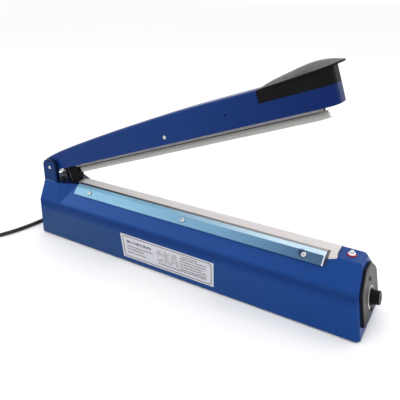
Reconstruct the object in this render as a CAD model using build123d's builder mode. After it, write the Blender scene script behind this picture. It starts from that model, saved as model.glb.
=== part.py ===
from build123d import *
import os
from math import atan2, cos, pi, radians, sin, sqrt, tan

os.makedirs("parts", exist_ok=True)

# ---------------------------------------------------------------- driving dimensions (mm)
# The shell is set out from its own middle: x along its length, y across, z up from its lower rim.
SHELL_X = -4.9              # the knob sticks out on the right, so the shell sits left of the origin
FOOT_H = 2.0                # the rubber feet lift the rim by this much
LENGTH, HALF = 550.0, 275.0
RIM_Y, CREASE_Y, CREASE_Z = 48.5, 45.0, 60.0
TOP_Y, TOP_Z = 16.0, 89.0
WALL = 2.4
END_LEAN = 11.0             # degrees that the right end face leans back
END_ROUND = 7.0

POST_TOP_Y, POST_TOP_Z = 29.2, 90.5
EAR_Y, EAR_TOP, EAR_X0, EAR_X1 = 28.0, 127.0, -275.0, -245.0
EAR_GAP = 20.6
PIVOT_X, PIVOT_Z = -258.0, 115.0
OPEN_ANGLE = 20.0
PIN_R, STOP_PIN_R = 3.0, 2.5

BED_X0, BED_X1, BED_Y = -215.0, 226.0, 8.0
RAIL_T, TAPE_T, RIBBON_T, CLOTH_T = 2.6, 0.5, 0.2, 0.3
STRIP_X0, STRIP_X1 = -207.0, 214.0
STRIP_LIFT, STRIP_T = 0.5, 1.0
STRIP_SCREW_X = (-175.5, 6.0, 188.0)
FRONT, REAR = -1, 1
STRIP_SCREW_S = {FRONT: 32.2, REAR: 23.4}

ARM_BACK, ARM_END, ARM_Y, ARM_LOW, ARM_WALL = -13.5, 492.0, 20.0, -7.5, 2.4
HANDLE_U, HANDLE_V = 401.0, 15.0
CHANNEL_U0, CHANNEL_U1 = 50.0, 466.0
RUBBER_V = -21.7

CORD_R = 3.1
CORD_EXIT_X, CORD_EXIT_Z = -234.0, 16.0
COIL_X, COIL_Y, COIL_R = -400.0, -112.0, 41.0


def at(x, y, z):
    """A point in the part's frame from the shell's own x, y and z."""
    return (SHELL_X + x, y, FOOT_H + z)


def write(builder, name):
    """Label a finished sub-part and write its STEP file."""
    builder.part.label = name
    export_step(builder.part, f"parts/{name}.step")


def cross(x):
    """A plane across the shell at x, with local x along +Y and local y up."""
    return Plane(origin=at(x, 0, 0), x_dir=(0, 1, 0), z_dir=(1, 0, 0))


def level(z):
    """A horizontal plane at height z above the rim, in the shell's x and y."""
    return Plane(origin=at(0, 0, z), x_dir=(1, 0, 0), z_dir=(0, 0, 1))


# the leaning end face: local x along +Y, local y up the face, normal outwards
LEAN = radians(END_LEAN)
end_face = Plane(origin=at(HALF, 0, 0), x_dir=(0, 1, 0), z_dir=(cos(LEAN), 0, sin(LEAN)))

# the arm, open at rest: u along it, v square to it and upwards, both from the hinge axis
SWING = radians(OPEN_ANGLE)
U_DIR = Vector(cos(SWING), 0, sin(SWING))
V_DIR = Vector(-sin(SWING), 0, cos(SWING))
PIVOT = Vector(*at(PIVOT_X, 0, PIVOT_Z))
arm_side = Plane(origin=PIVOT, x_dir=U_DIR, z_dir=(0, -1, 0))


def arm_plan(v):
    """A plane along the arm at height v, with local x along it and local y along +Y."""
    return Plane(origin=PIVOT + V_DIR * v, x_dir=U_DIR, z_dir=V_DIR)


def arm_cross(u):
    """A plane across the arm at u, with local x along +Y and local y up."""
    return Plane(origin=PIVOT + U_DIR * u, x_dir=(0, 1, 0), z_dir=U_DIR)


def slope_point(side, s, lift):
    """A point on a 45 degree flank: s up the slope from the crease, lift off its face."""
    k = sqrt(0.5)
    return (side * (CREASE_Y - (s - lift) * k), CREASE_Z + (s + lift) * k)


def slope_plane(side, x, s, lift):
    """A plane on a flank with its normal outwards and local x along +X."""
    y, z = slope_point(side, s, lift)
    return Plane(origin=at(x, y, z), x_dir=(1, 0, 0), z_dir=(0, side, 1))


# ---------------------------------------------------------------- base shell
shell_outline = [(-RIM_Y, 0), (-CREASE_Y, CREASE_Z), (-TOP_Y, TOP_Z),
                 (TOP_Y, TOP_Z), (CREASE_Y, CREASE_Z), (RIM_Y, 0)]
post_outline = [(-RIM_Y, 0), (-CREASE_Y, CREASE_Z), (-POST_TOP_Y, POST_TOP_Z),
                (POST_TOP_Y, POST_TOP_Z), (CREASE_Y, CREASE_Z), (RIM_Y, 0)]
cavity_outline = [(-RIM_Y + 2.5, -1), (-CREASE_Y + 2.6, CREASE_Z - 1), (-TOP_Y + 1.2, TOP_Z - WALL),
                  (TOP_Y - 1.2, TOP_Z - WALL), (CREASE_Y - 2.6, CREASE_Z - 1), (RIM_Y - 2.5, -1)]
FACET = [(-228.0, CREASE_Y, CREASE_Z), (-245.0, POST_TOP_Y, POST_TOP_Z), (-210.0, 14.5, POST_TOP_Z)]
BOSS_X, BOSS_Y, BOSS_R = (-252.0, -10.0, 225.0), 41.2, 4.9
SLOT_X0, SLOT_X1, SLOT_Y0, SLOT_Y1 = -242.0, -216.2, -10.7, 2.7
SPRING_X, SPRING_Y = -230.0, 11.0
STOP_U, STOP_V = -8.0, ARM_LOW - STOP_PIN_R - 0.1
STOP_PIN_HALF = 23.5        # the stop pin ends blind inside both ears
stop_at = PIVOT + U_DIR * STOP_U + V_DIR * STOP_V
LAMP_X, LAMP_BODY_R, LAMP_RING_R, LENS_R = 241.0, 3.5, 4.7, 2.75
LEAD_X = (-212.0, 222.0)
KNOB_S = 37.3
PANEL_SCREW_S = (63.5, 19.0)


def facet_plane(side):
    """The slanted facet where the post runs out into a flank; its normal points away from the post."""
    a, b, c = (Vector(x, side * y, z) for x, y, z in FACET)
    normal = (b - a).cross(c - a)
    if normal.X < 0:
        normal = -normal
    return Plane(origin=at(*a), z_dir=normal)


def lines_along_x(builder, z):
    """The straight edges of a solid that run along the shell at height z."""
    return builder.edges().filter_by(GeomType.LINE).filter_by(Axis.X).filter_by(
        lambda e: abs(e.center().Z - FOOT_H - z) < 1)


with BuildPart() as main_body:
    with BuildSketch(cross(-HALF)):
        with BuildLine():
            Polyline(*shell_outline, close=True)
        make_face()
    extrude(amount=LENGTH)
    split(bisect_by=end_face, keep=Keep.BOTTOM)
    end_edges = main_body.faces().sort_by(Axis.X)[-1].edges()
    fillet(end_edges.filter_by(lambda e: e.center().Z > FOOT_H + 1), radius=END_ROUND)
    fillet(lines_along_x(main_body, CREASE_Z), radius=9)
    fillet(lines_along_x(main_body, TOP_Z), radius=4)

with BuildPart() as post:
    with BuildSketch(cross(-HALF)):
        with BuildLine():
            Polyline(*post_outline, close=True)
        make_face()
    extrude(amount=70)
    split(bisect_by=facet_plane(-1), keep=Keep.BOTTOM)
    split(bisect_by=facet_plane(1), keep=Keep.BOTTOM)

with BuildPart() as ears:
    with BuildSketch(cross(EAR_X0)):
        with BuildLine():
            Polyline((-POST_TOP_Y, POST_TOP_Z - 0.01), (-EAR_Y, EAR_TOP), (EAR_Y, EAR_TOP),
                     (POST_TOP_Y, POST_TOP_Z - 0.01), close=True)
        make_face()
    extrude(amount=EAR_X1 - EAR_X0)
    top_edges = ears.faces().sort_by(Axis.Z)[-1].edges().filter_by(Axis.Y).sort_by(Axis.X)
    fillet(top_edges[0], radius=10)
    top_edges = ears.faces().sort_by(Axis.Z)[-1].edges().filter_by(Axis.Y).sort_by(Axis.X)
    fillet(top_edges[-1], radius=7)
    with BuildSketch(cross(EAR_X0 - 1)):
        with Locations((0, (POST_TOP_Z + EAR_TOP + 2) / 2)):
            Rectangle(2 * EAR_GAP, EAR_TOP + 2 - POST_TOP_Z)
    extrude(amount=EAR_X1 - EAR_X0 + 2, mode=Mode.SUBTRACT)

with BuildPart() as cavity:
    with BuildSketch(cross(-HALF + 3)):
        with BuildLine():
            Polyline(*cavity_outline, close=True)
        make_face()
    extrude(amount=LENGTH - 3)
    split(bisect_by=end_face.offset(-3), keep=Keep.BOTTOM)
    inner_end = cavity.faces().sort_by(Axis.X)[-1].edges()
    fillet(inner_end.filter_by(lambda e: e.center().Z > FOOT_H), radius=END_ROUND - 2.4)

with BuildPart() as base_shell:
    add(main_body.part)
    add(post.part)
    add(ears.part)
    left_corners = base_shell.edges().filter_by(
        lambda e: abs(e.center().X - at(-HALF, 0, 0)[0]) < 0.01 and FOOT_H + 5 < e.center().Z
        and abs(e.center().Y) > EAR_Y - 1)
    fillet(left_corners, radius=3)
    add(cavity.part, mode=Mode.SUBTRACT)
    # bosses for the screws of the bottom plate, joined to the side walls
    with BuildSketch(level(2.4)):
        with Locations(*[(x, side * BOSS_Y) for x in BOSS_X for side in (-1, 1)]):
            Circle(BOSS_R)
    extrude(amount=22)
    with BuildSketch(level(2.4)):
        with Locations(*[(x, side * BOSS_Y) for x in BOSS_X for side in (-1, 1)]):
            Circle(1.55)
    extrude(amount=16, mode=Mode.SUBTRACT)
    # stud inside the return spring, and the slot that the switch actuator dips into
    with BuildSketch(level(POST_TOP_Z - 1)):
        with Locations((SPRING_X, SPRING_Y)):
            Circle(3.0)
    extrude(amount=7)
    with BuildSketch(level(80)):
        with Locations(((SLOT_X0 + SLOT_X1) / 2, (SLOT_Y0 + SLOT_Y1) / 2)):
            Rectangle(SLOT_X1 - SLOT_X0, SLOT_Y1 - SLOT_Y0)
    extrude(amount=15, mode=Mode.SUBTRACT)
    # hinge pin hole through both ears, and blind holes for the stop pin on their inner sides
    with BuildSketch(Plane(origin=PIVOT, x_dir=(1, 0, 0), z_dir=(0, -1, 0))):
        Circle(PIN_R + 0.02)
    extrude(amount=40, both=True, mode=Mode.SUBTRACT)
    with BuildSketch(Plane(origin=stop_at, x_dir=(1, 0, 0), z_dir=(0, -1, 0))):
        Circle(STOP_PIN_R + 0.02)
    extrude(amount=STOP_PIN_HALF + 0.1, both=True, mode=Mode.SUBTRACT)
    # the bed starts in a shallow step cut into the top of the post
    with BuildSketch(level(TOP_Z)):
        with Locations((BED_X0 + 10, 0)):
            Rectangle(20, 28)
    extrude(amount=4, mode=Mode.SUBTRACT)
    # lamp hole, heater lead holes, strip screw holes, cord hole and the openings behind the panel
    with BuildSketch(level(TOP_Z - 8)):
        with Locations((LAMP_X, 0)):
            Circle(LAMP_BODY_R + 0.05)
        with Locations(*[(x, 0) for x in LEAD_X]):
            Rectangle(3, 5)
    extrude(amount=12, mode=Mode.SUBTRACT)
    for side in (-1, 1):
        for x in STRIP_SCREW_X:
            with BuildSketch(slope_plane(side, x, STRIP_SCREW_S[side], -8)):
                Circle(1.8)
            extrude(amount=12, mode=Mode.SUBTRACT)
    with BuildSketch(Plane(origin=at(CORD_EXIT_X, RIM_Y - 8, CORD_EXIT_Z), z_dir=(0, 1, 0))):
        Circle(5.0)
    extrude(amount=12, mode=Mode.SUBTRACT)
    with BuildSketch(end_face.offset(-6)):
        with Locations((0, KNOB_S)):
            Rectangle(28, 30)
        with Locations(*[(0, s) for s in PANEL_SCREW_S]):
            Circle(1.6)
    extrude(amount=8, mode=Mode.SUBTRACT)
write(base_shell, "base_shell")

# ---------------------------------------------------------------- bottom plate, its screws and the feet
PLATE_Z, PLATE_T = 1.0, 1.2
FOOT_X, FOOT_Y = (-225.0, 205.0), 26.0
with BuildPart() as bottom_plate:
    with BuildSketch(level(PLATE_Z)):
        with Locations((-6.0, 0)):
            RectangleRounded(528, 2 * (RIM_Y - 3.2), 3)
        with Locations(*[(x, side * BOSS_Y) for x in BOSS_X for side in (-1, 1)]):
            Circle(1.8, mode=Mode.SUBTRACT)
        with Locations(*[(x, side * FOOT_Y) for x in FOOT_X for side in (-1, 1)]):
            Circle(2.5, mode=Mode.SUBTRACT)
        with GridLocations(9, 30, 12, 2):
            SlotOverall(14, 2.4, rotation=90, mode=Mode.SUBTRACT)
    extrude(amount=PLATE_T)
write(bottom_plate, "bottom_plate")

with BuildPart() as bottom_screws:
    with BuildSketch(level(PLATE_Z - 1.6)):
        with Locations(*[(x, side * BOSS_Y) for x in BOSS_X for side in (-1, 1)]):
            Circle(3.2)
    extrude(amount=1.6)
    with BuildSketch(level(PLATE_Z)):
        with Locations(*[(x, side * BOSS_Y) for x in BOSS_X for side in (-1, 1)]):
            Circle(1.5)
    extrude(amount=13)
    with BuildSketch(level(PLATE_Z - 1.6)):
        with Locations(*[(x, side * BOSS_Y) for x in BOSS_X for side in (-1, 1)]):
            Rectangle(4.2, 0.8)
            Rectangle(0.8, 4.2)
    extrude(amount=0.9, mode=Mode.SUBTRACT)
write(bottom_screws, "bottom_screws")

with BuildPart() as rubber_feet:
    with BuildSketch(level(-FOOT_H)):
        with Locations(*[(x, side * FOOT_Y) for x in FOOT_X for side in (-1, 1)]):
            Circle(8.0)
    extrude(amount=FOOT_H + PLATE_Z, taper=4)
    with BuildSketch(level(PLATE_Z - 0.5)):
        with Locations(*[(x, side * FOOT_Y) for x in FOOT_X for side in (-1, 1)]):
            Circle(2.5)
    extrude(amount=PLATE_T + 1.5)
write(rubber_feet, "rubber_feet")

# ---------------------------------------------------------------- right end: panel, face plate, timer
PANEL_T, FACE_T = 3.4, 1.0
panel_half = [(38.6, 14.0), (37.0, 57.5), (31.0, 66.4), (12.5, 81.0)]


def panel_outline(inset):
    """The panel's outline on the end face, drawn in all round by an inset."""
    right = [(y - inset, s) for y, s in panel_half]
    points = [(right[0][0], right[0][1] + inset), (right[1][0], right[1][1] - 0.3 * inset),
              (right[2][0] + 0.2 * inset, right[2][1] - 0.8 * inset),
              (right[3][0] + 0.6 * inset, right[3][1] - inset)]
    return points + [(-y, s) for y, s in reversed(points)]


with BuildPart() as end_panel:
    with BuildSketch(end_face):
        with BuildLine():
            Polyline(*panel_outline(0), close=True)
        make_face()
        fillet(vertices(), radius=4)
    extrude(amount=PANEL_T)
    chamfer(end_panel.faces().sort_by(Axis.X)[-1].edges(), length=0.5)
    with BuildSketch(end_face):
        with Locations((0, KNOB_S)):
            Circle(4.3)
        with Locations(*[(0, s) for s in PANEL_SCREW_S]):
            Circle(1.6)
    extrude(amount=PANEL_T, mode=Mode.SUBTRACT)
write(end_panel, "end_panel")

with BuildPart() as end_plate:
    with BuildSketch(end_face.offset(PANEL_T)):
        with BuildLine():
            Polyline(*panel_outline(1.2), close=True)
        make_face()
        fillet(vertices(), radius=3.2)
        with Locations((0, KNOB_S)):
            Circle(4.3, mode=Mode.SUBTRACT)
        with Locations(*[(0, s) for s in PANEL_SCREW_S]):
            Circle(1.6, mode=Mode.SUBTRACT)
    extrude(amount=FACE_T)
write(end_plate, "end_plate")

with BuildPart() as end_panel_screws:
    with BuildSketch(end_face.offset(PANEL_T + FACE_T)):
        with Locations(*[(0, s) for s in PANEL_SCREW_S]):
            Circle(2.7)
    extrude(amount=1.5)
    fillet(end_panel_screws.faces().sort_by(Axis.X)[-2:].edges(), radius=0.7)
    with BuildSketch(end_face.offset(-2.9)):
        with Locations(*[(0, s) for s in PANEL_SCREW_S]):
            Circle(1.5)
    extrude(amount=PANEL_T + FACE_T + 3.0)
    with BuildSketch(end_face.offset(PANEL_T + FACE_T + 0.7)):
        with Locations(*[(0, s) for s in PANEL_SCREW_S]):
            Rectangle(3.2, 0.7)
            Rectangle(0.7, 3.2)
    extrude(amount=1.0, mode=Mode.SUBTRACT)
write(end_panel_screws, "end_panel_screws")

FACE_OUT = PANEL_T + FACE_T
with BuildPart() as timer_potentiometer:
    with BuildSketch(end_face.offset(-11)):
        with Locations((0, KNOB_S)):
            Circle(12)
        with Locations((0, KNOB_S - 11)):
            Rectangle(16, 7)
    extrude(amount=10.95)
    with BuildSketch(end_face.offset(-0.1)):
        with Locations((0, KNOB_S)):
            Circle(4.0)
    extrude(amount=FACE_OUT + 4.2)
    with BuildSketch(end_face.offset(-4.0)):
        with Locations((0, KNOB_S)):
            Circle(3.06)
    extrude(amount=20, mode=Mode.SUBTRACT)
write(timer_potentiometer, "timer_potentiometer")

with BuildPart() as potentiometer_nut:
    with BuildSketch(end_face.offset(FACE_OUT)):
        with Locations((0, KNOB_S)):
            RegularPolygon(radius=6.0, side_count=6)
            Circle(4.02, mode=Mode.SUBTRACT)
    extrude(amount=2.2)
write(potentiometer_nut, "potentiometer_nut")

KNOB_BASE, KNOB_TIP = FACE_OUT + 0.6, 15.6
with BuildPart() as timer_shaft:
    with BuildSketch(end_face.offset(-3.0)):
        with Locations((0, KNOB_S)):
            Circle(3.0)
    extrude(amount=KNOB_TIP)
write(timer_shaft, "timer_shaft")

with BuildPart() as timer_knob:
    with BuildSketch(end_face.offset(KNOB_BASE)):
        with Locations((0, KNOB_S)):
            Circle(10.6)
    extrude(amount=1.8)
    with BuildSketch(end_face.offset(KNOB_BASE + 1.7)):
        with Locations((0, KNOB_S)):
            Circle(9.4)
    extrude(amount=KNOB_TIP - KNOB_BASE - 1.7, taper=3.5)
    knob_top = timer_knob.faces().sort_by(Axis.X)[-1]
    fillet(knob_top.edges(), radius=0.8)
    # grip flutes round the body
    with BuildSketch(end_face.offset(KNOB_BASE + 2.6)):
        with Locations((0, KNOB_S)):
            with PolarLocations(radius=9.75, count=24):
                Circle(0.62)
    extrude(amount=KNOB_TIP, mode=Mode.SUBTRACT)
    # pointer groove on the front, room for the nut behind, and the bore for the shaft
    with BuildSketch(end_face.offset(KNOB_TIP - 0.5)):
        with Locations((0, KNOB_S + 5.6)):
            Rectangle(1.1, 5.2)
    extrude(amount=2, mode=Mode.SUBTRACT)
    with BuildSketch(end_face.offset(KNOB_BASE - 1)):
        with Locations((0, KNOB_S)):
            Circle(6.8)
    extrude(amount=5.2, mode=Mode.SUBTRACT)
    with BuildSketch(end_face.offset(KNOB_BASE)):
        with Locations((0, KNOB_S)):
            Circle(3.02)
    extrude(amount=KNOB_TIP - 3.0 - KNOB_BASE + 0.05, mode=Mode.SUBTRACT)
write(timer_knob, "timer_knob")

# ---------------------------------------------------------------- lamp
with BuildPart() as lamp_bezel:
    with BuildSketch(level(TOP_Z)):
        with Locations((LAMP_X, 0)):
            Circle(LAMP_RING_R)
    extrude(amount=2.6)
    fillet(lamp_bezel.faces().sort_by(Axis.Z)[-1].edges(), radius=1.1)
    with BuildSketch(level(TOP_Z - 9)):
        with Locations((LAMP_X, 0)):
            Circle(LAMP_BODY_R)
    extrude(amount=9.2)
    with BuildSketch(level(TOP_Z - 10)):
        with Locations((LAMP_X, 0)):
            Circle(LENS_R + 0.05)
    extrude(amount=15, mode=Mode.SUBTRACT)
write(lamp_bezel, "lamp_bezel")

with BuildPart() as lamp_lens:
    with BuildSketch(level(TOP_Z - 8)):
        with Locations((LAMP_X, 0)):
            Circle(LENS_R)
    extrude(amount=14.4)
    fillet(lamp_lens.faces().sort_by(Axis.Z)[-1].edges(), radius=2.2)
write(lamp_lens, "lamp_lens")

with BuildPart() as lamp_clip:
    with BuildSketch(level(TOP_Z - WALL - 2.2)):
        with Locations((LAMP_X, 0)):
            Circle(6.5)
            Circle(LAMP_BODY_R + 0.02, mode=Mode.SUBTRACT)
    extrude(amount=2.0)
write(lamp_clip, "lamp_clip")

# ---------------------------------------------------------------- sealing bed
BED_MID, BED_LEN = (BED_X0 + BED_X1) / 2, BED_X1 - BED_X0
with BuildPart() as bed_rail:
    with BuildSketch(level(TOP_Z)):
        with Locations((BED_MID, 0)):
            Rectangle(BED_LEN, 2 * BED_Y)
        with Locations(*[(x, 0) for x in LEAD_X]):
            Rectangle(3, 5, mode=Mode.SUBTRACT)
    extrude(amount=RAIL_T)
write(bed_rail, "bed_rail")

with BuildPart() as insulation_tape:
    with BuildSketch(level(TOP_Z + RAIL_T)):
        with Locations((BED_MID, 0)):
            Rectangle(BED_LEN, 2 * BED_Y - 1)
        with Locations(*[(x, 0) for x in LEAD_X]):
            Rectangle(3, 5, mode=Mode.SUBTRACT)
    extrude(amount=TAPE_T)
write(insulation_tape, "insulation_tape")

RIBBON_Z = TOP_Z + RAIL_T + TAPE_T
TERMINAL_TOP = TOP_Z - WALL - 0.05
with BuildPart() as heating_ribbon:
    with BuildSketch(level(RIBBON_Z)):
        with Locations(((LEAD_X[0] + LEAD_X[1]) / 2, 0)):
            Rectangle(LEAD_X[1] - LEAD_X[0] + 0.2, 3)
    extrude(amount=RIBBON_T)
    with BuildSketch(level(74)):
        with Locations(*[(x, 0) for x in LEAD_X]):
            Rectangle(RIBBON_T, 3)
    extrude(amount=RIBBON_Z - 74 + RIBBON_T)
write(heating_ribbon, "heating_ribbon")

CLOTH_X0 = BED_X0 + 5.5
with BuildPart() as ptfe_bed_cloth:
    with BuildSketch(cross(CLOTH_X0)):
        front_low, rear_low = (slope_point(1, s, 0.07 + CLOTH_T / 2) for s in (28.5, 19.5))
        edge_high = slope_point(1, 40.9, 0.07 + CLOTH_T / 2)
        top_z = RIBBON_Z + RIBBON_T + 0.05 + CLOTH_T / 2
        over = [edge_high, (BED_Y + 0.3, top_z)]
        with BuildLine():
            Polyline(*[(-y, z) for y, z in [front_low] + over], *reversed([rear_low] + over))
        trace(line_width=CLOTH_T)
    extrude(amount=BED_X1 - CLOTH_X0)
    for side in (-1, 1):
        for x in STRIP_SCREW_X:
            with BuildSketch(slope_plane(side, x, STRIP_SCREW_S[side], -1)):
                Circle(1.9)
            extrude(amount=3, mode=Mode.SUBTRACT)
write(ptfe_bed_cloth, "ptfe_bed_cloth")

# folded strips: the front one has a flange leaning in over the bed's edge, the rear one is a flat channel
STRIP_TOP = 3.1
strip_outline = {
    FRONT: [(24.8, STRIP_LIFT), (24.8, STRIP_TOP), (38.3, STRIP_TOP), (44.5, 1.2), (44.21, 0.24),
            (38.15, STRIP_TOP - STRIP_T), (24.8 + STRIP_T, STRIP_TOP - STRIP_T), (24.8 + STRIP_T, STRIP_LIFT)],
    REAR: [(16.4, STRIP_LIFT), (16.4, STRIP_LIFT + 1.2), (30.4, STRIP_LIFT + 1.2), (30.4, STRIP_LIFT)],
}
strip_face = {FRONT: STRIP_TOP, REAR: STRIP_LIFT + 1.2}
for side, name in ((FRONT, "front_clamp_strip"), (REAR, "rear_clamp_strip")):
    with BuildPart() as clamp_strip:
        with BuildSketch(cross(STRIP_X0)):
            with BuildLine():
                Polyline(*[slope_point(side, s, lift) for s, lift in strip_outline[side]], close=True)
            make_face()
        extrude(amount=STRIP_X1 - STRIP_X0)
        for x in STRIP_SCREW_X:
            with BuildSketch(slope_plane(side, x, STRIP_SCREW_S[side], 0)):
                Circle(1.9)
            extrude(amount=5, mode=Mode.SUBTRACT)
        outward = Vector(0, side, 1).normalized()
        outer = clamp_strip.faces().filter_by(lambda f: (f.normal_at() - outward).length < 0.01)
        fillet(outer.sort_by(Axis((0, 0, 0), (0, side, 1)))[-1].edges().filter_by(GeomType.LINE), radius=0.4)
    write(clamp_strip, name)

with BuildPart() as strip_screws:
    for side in (-1, 1):
        for x in STRIP_SCREW_X:
            with BuildSketch(slope_plane(side, x, STRIP_SCREW_S[side], strip_face[side])):
                Circle(3.4)
            extrude(amount=2.1)
    heads = strip_screws.faces().filter_by(lambda f: f.geom_type == GeomType.PLANE
                                           and f.normal_at().Z > 0.5)
    fillet(heads.edges(), radius=1.1)
    for side in (-1, 1):
        for x in STRIP_SCREW_X:
            with BuildSketch(slope_plane(side, x, STRIP_SCREW_S[side], -7)):
                Circle(1.75)
            extrude(amount=7.1 + strip_face[side])
            with BuildSketch(slope_plane(side, x, STRIP_SCREW_S[side], strip_face[side] + 1.0)):
                Rectangle(3.6, 0.8)
                Rectangle(0.8, 3.6)
            extrude(amount=2, mode=Mode.SUBTRACT)
write(strip_screws, "strip_screws")

# heater terminals hang under the top wall: a block, and a brass screw that clamps the ribbon's end
TERMINAL_DIRS = (1, -1)
with BuildPart() as terminal_blocks:
    for x, way in zip(LEAD_X, TERMINAL_DIRS):
        with BuildSketch(level(70)):
            with Locations((x + way * 6.35, 0)):
                Rectangle(12, 20)
        extrude(amount=TERMINAL_TOP - 70)
        with BuildSketch(Plane(origin=at(x, 0, 77.5), x_dir=(0, 1, 0), z_dir=(way, 0, 0))):
            Circle(1.8)
        extrude(amount=10, mode=Mode.SUBTRACT)
write(terminal_blocks, "terminal_blocks")

with BuildPart() as terminal_screws:
    for x, way in zip(LEAD_X, TERMINAL_DIRS):
        with BuildSketch(Plane(origin=at(x - way * 0.15, 0, 77.5), x_dir=(0, 1, 0), z_dir=(-way, 0, 0))):
            Circle(3.4)
        extrude(amount=2.2)
        with BuildSketch(Plane(origin=at(x + way * 0.15, 0, 77.5), x_dir=(0, 1, 0), z_dir=(way, 0, 0))):
            Circle(1.75)
        extrude(amount=9)
write(terminal_screws, "terminal_screws")

# ---------------------------------------------------------------- name label on the front
FRONT_TILT = atan2(RIM_Y - CREASE_Y, CREASE_Z)
label_plane = Plane(origin=at(0, -RIM_Y, 0), x_dir=(1, 0, 0), z_dir=(0, -cos(FRONT_TILT), sin(FRONT_TILT)))
with BuildPart() as name_label:
    with BuildSketch(label_plane):
        with BuildLine():
            Polyline((-96.5, 45.5), (-90.0, 7.0), (72.0, 7.0), (70.0, 44.5), close=True)
        make_face()
        fillet(vertices(), radius=1.2)
    extrude(amount=0.4)
write(name_label, "name_label")

# ---------------------------------------------------------------- transformer on the bottom plate
FLOOR = PLATE_Z + PLATE_T
CORE_X, CORE_L, CORE_W, CORE_H = 50.0, 66.0, 30.0, 55.0
WINDOW_W, LEG_W = 11.0, 22.0
WINDOW_H = CORE_H - 22.0
with BuildPart() as transformer_core:
    with BuildSketch(Plane(origin=at(CORE_X, 0, FLOOR), x_dir=(1, 0, 0), z_dir=(0, -1, 0))):
        with Locations((0, CORE_H / 2)):
            Rectangle(CORE_L, CORE_H)
            with Locations((-(LEG_W + WINDOW_W) / 2, 0), ((LEG_W + WINDOW_W) / 2, 0)):
                Rectangle(WINDOW_W, WINDOW_H, mode=Mode.SUBTRACT)
    extrude(amount=CORE_W / 2, both=True)
write(transformer_core, "transformer_core")

with BuildPart() as transformer_winding:
    with BuildSketch(level(FLOOR + 11.2)):
        with Locations((CORE_X, 0)):
            RectangleRounded(LEG_W + 2 * WINDOW_W - 0.4, 50, 6)
            Rectangle(LEG_W + 0.3, CORE_W + 0.3, mode=Mode.SUBTRACT)
    extrude(amount=WINDOW_H - 0.4)
write(transformer_winding, "transformer_winding")

FOOT_LEN, STRAP_T = 13.0, 1.2
with BuildPart() as transformer_strap:
    with BuildSketch(Plane(origin=at(CORE_X, 0, FLOOR), x_dir=(1, 0, 0), z_dir=(0, -1, 0))):
        half = CORE_L / 2 + 0.1
        with BuildLine():
            Polyline((-half - FOOT_LEN, 0), (-half - FOOT_LEN, STRAP_T), (-half - STRAP_T, STRAP_T),
                     (-half - STRAP_T, CORE_H + 0.1 + STRAP_T), (half + STRAP_T, CORE_H + 0.1 + STRAP_T),
                     (half + STRAP_T, STRAP_T), (half + FOOT_LEN, STRAP_T), (half + FOOT_LEN, 0),
                     (half, 0), (half, CORE_H + 0.1), (-half, CORE_H + 0.1), (-half, 0), close=True)
        make_face()
    extrude(amount=11, both=True)
    with BuildSketch(level(FLOOR)):
        with Locations((CORE_X - half - 7.5, 0), (CORE_X + half + 7.5, 0)):
            Circle(2.1)
    extrude(amount=STRAP_T, mode=Mode.SUBTRACT)
write(transformer_strap, "transformer_strap")

with BuildPart() as transformer_screws:
    spots = [(CORE_X - half - 7.5, 0), (CORE_X + half + 7.5, 0)]
    with BuildSketch(level(FLOOR + STRAP_T)):
        with Locations(*spots):
            Circle(3.6)
    extrude(amount=2.4)
    with BuildSketch(level(FLOOR)):
        with Locations(*spots):
            Circle(2.0)
    extrude(amount=STRAP_T + 0.1)
write(transformer_screws, "transformer_screws")

# ---------------------------------------------------------------- timer board
BOARD_X, BOARD_L, BOARD_W, BOARD_Z, BOARD_T = 160.0, 84.0, 56.0, 10.0, 1.6
BOARD_TOP = BOARD_Z + BOARD_T
corners = [(BOARD_X + i * (BOARD_L / 2 - 5), j * (BOARD_W / 2 - 5)) for i in (-1, 1) for j in (-1, 1)]
with BuildPart() as timer_board:
    with BuildSketch(level(BOARD_Z)):
        with Locations((BOARD_X, 0)):
            RectangleRounded(BOARD_L, BOARD_W, 2)
        with Locations(*corners):
            Circle(1.7, mode=Mode.SUBTRACT)
    extrude(amount=BOARD_T)
write(timer_board, "timer_board")

with BuildPart() as board_spacers:
    with BuildSketch(level(FLOOR)):
        with Locations(*corners):
            RegularPolygon(radius=3.2, side_count=6)
    extrude(amount=BOARD_Z - FLOOR)
    with BuildSketch(level(BOARD_Z)):
        with Locations(*corners):
            Circle(1.5)
    extrude(amount=BOARD_T + 0.1)
    with BuildSketch(level(BOARD_TOP)):
        with Locations(*corners):
            Circle(2.7)
    extrude(amount=1.8)
write(board_spacers, "board_spacers")

with BuildPart() as switching_relay:
    with BuildSketch(level(BOARD_TOP)):
        with Locations((BOARD_X - 22, 9)):
            RectangleRounded(19, 15.5, 1)
    extrude(amount=15.5)
write(switching_relay, "switching_relay")

with BuildPart() as board_capacitors:
    for x, y, r, h in ((-2, -14, 6.5, 21), (14, -15, 4, 12), (-18, -15, 5, 14)):
        with BuildSketch(level(BOARD_TOP)):
            with Locations((BOARD_X + x, y)):
                Circle(r)
        extrude(amount=h)
write(board_capacitors, "board_capacitors")

with BuildPart() as board_connectors:
    with BuildSketch(level(BOARD_TOP)):
        with Locations((BOARD_X + 6, 18)):
            Rectangle(20, 8)
        with Locations((BOARD_X + 33, 0)):
            Rectangle(6, 15)
    extrude(amount=11)
    with BuildSketch(level(BOARD_TOP + 4)):
        with Locations(*[(BOARD_X + 6 + i * 5, 18) for i in (-1.5, -0.5, 0.5, 1.5)]):
            Circle(1.7)
    extrude(amount=8, mode=Mode.SUBTRACT)
write(board_connectors, "board_connectors")

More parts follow.
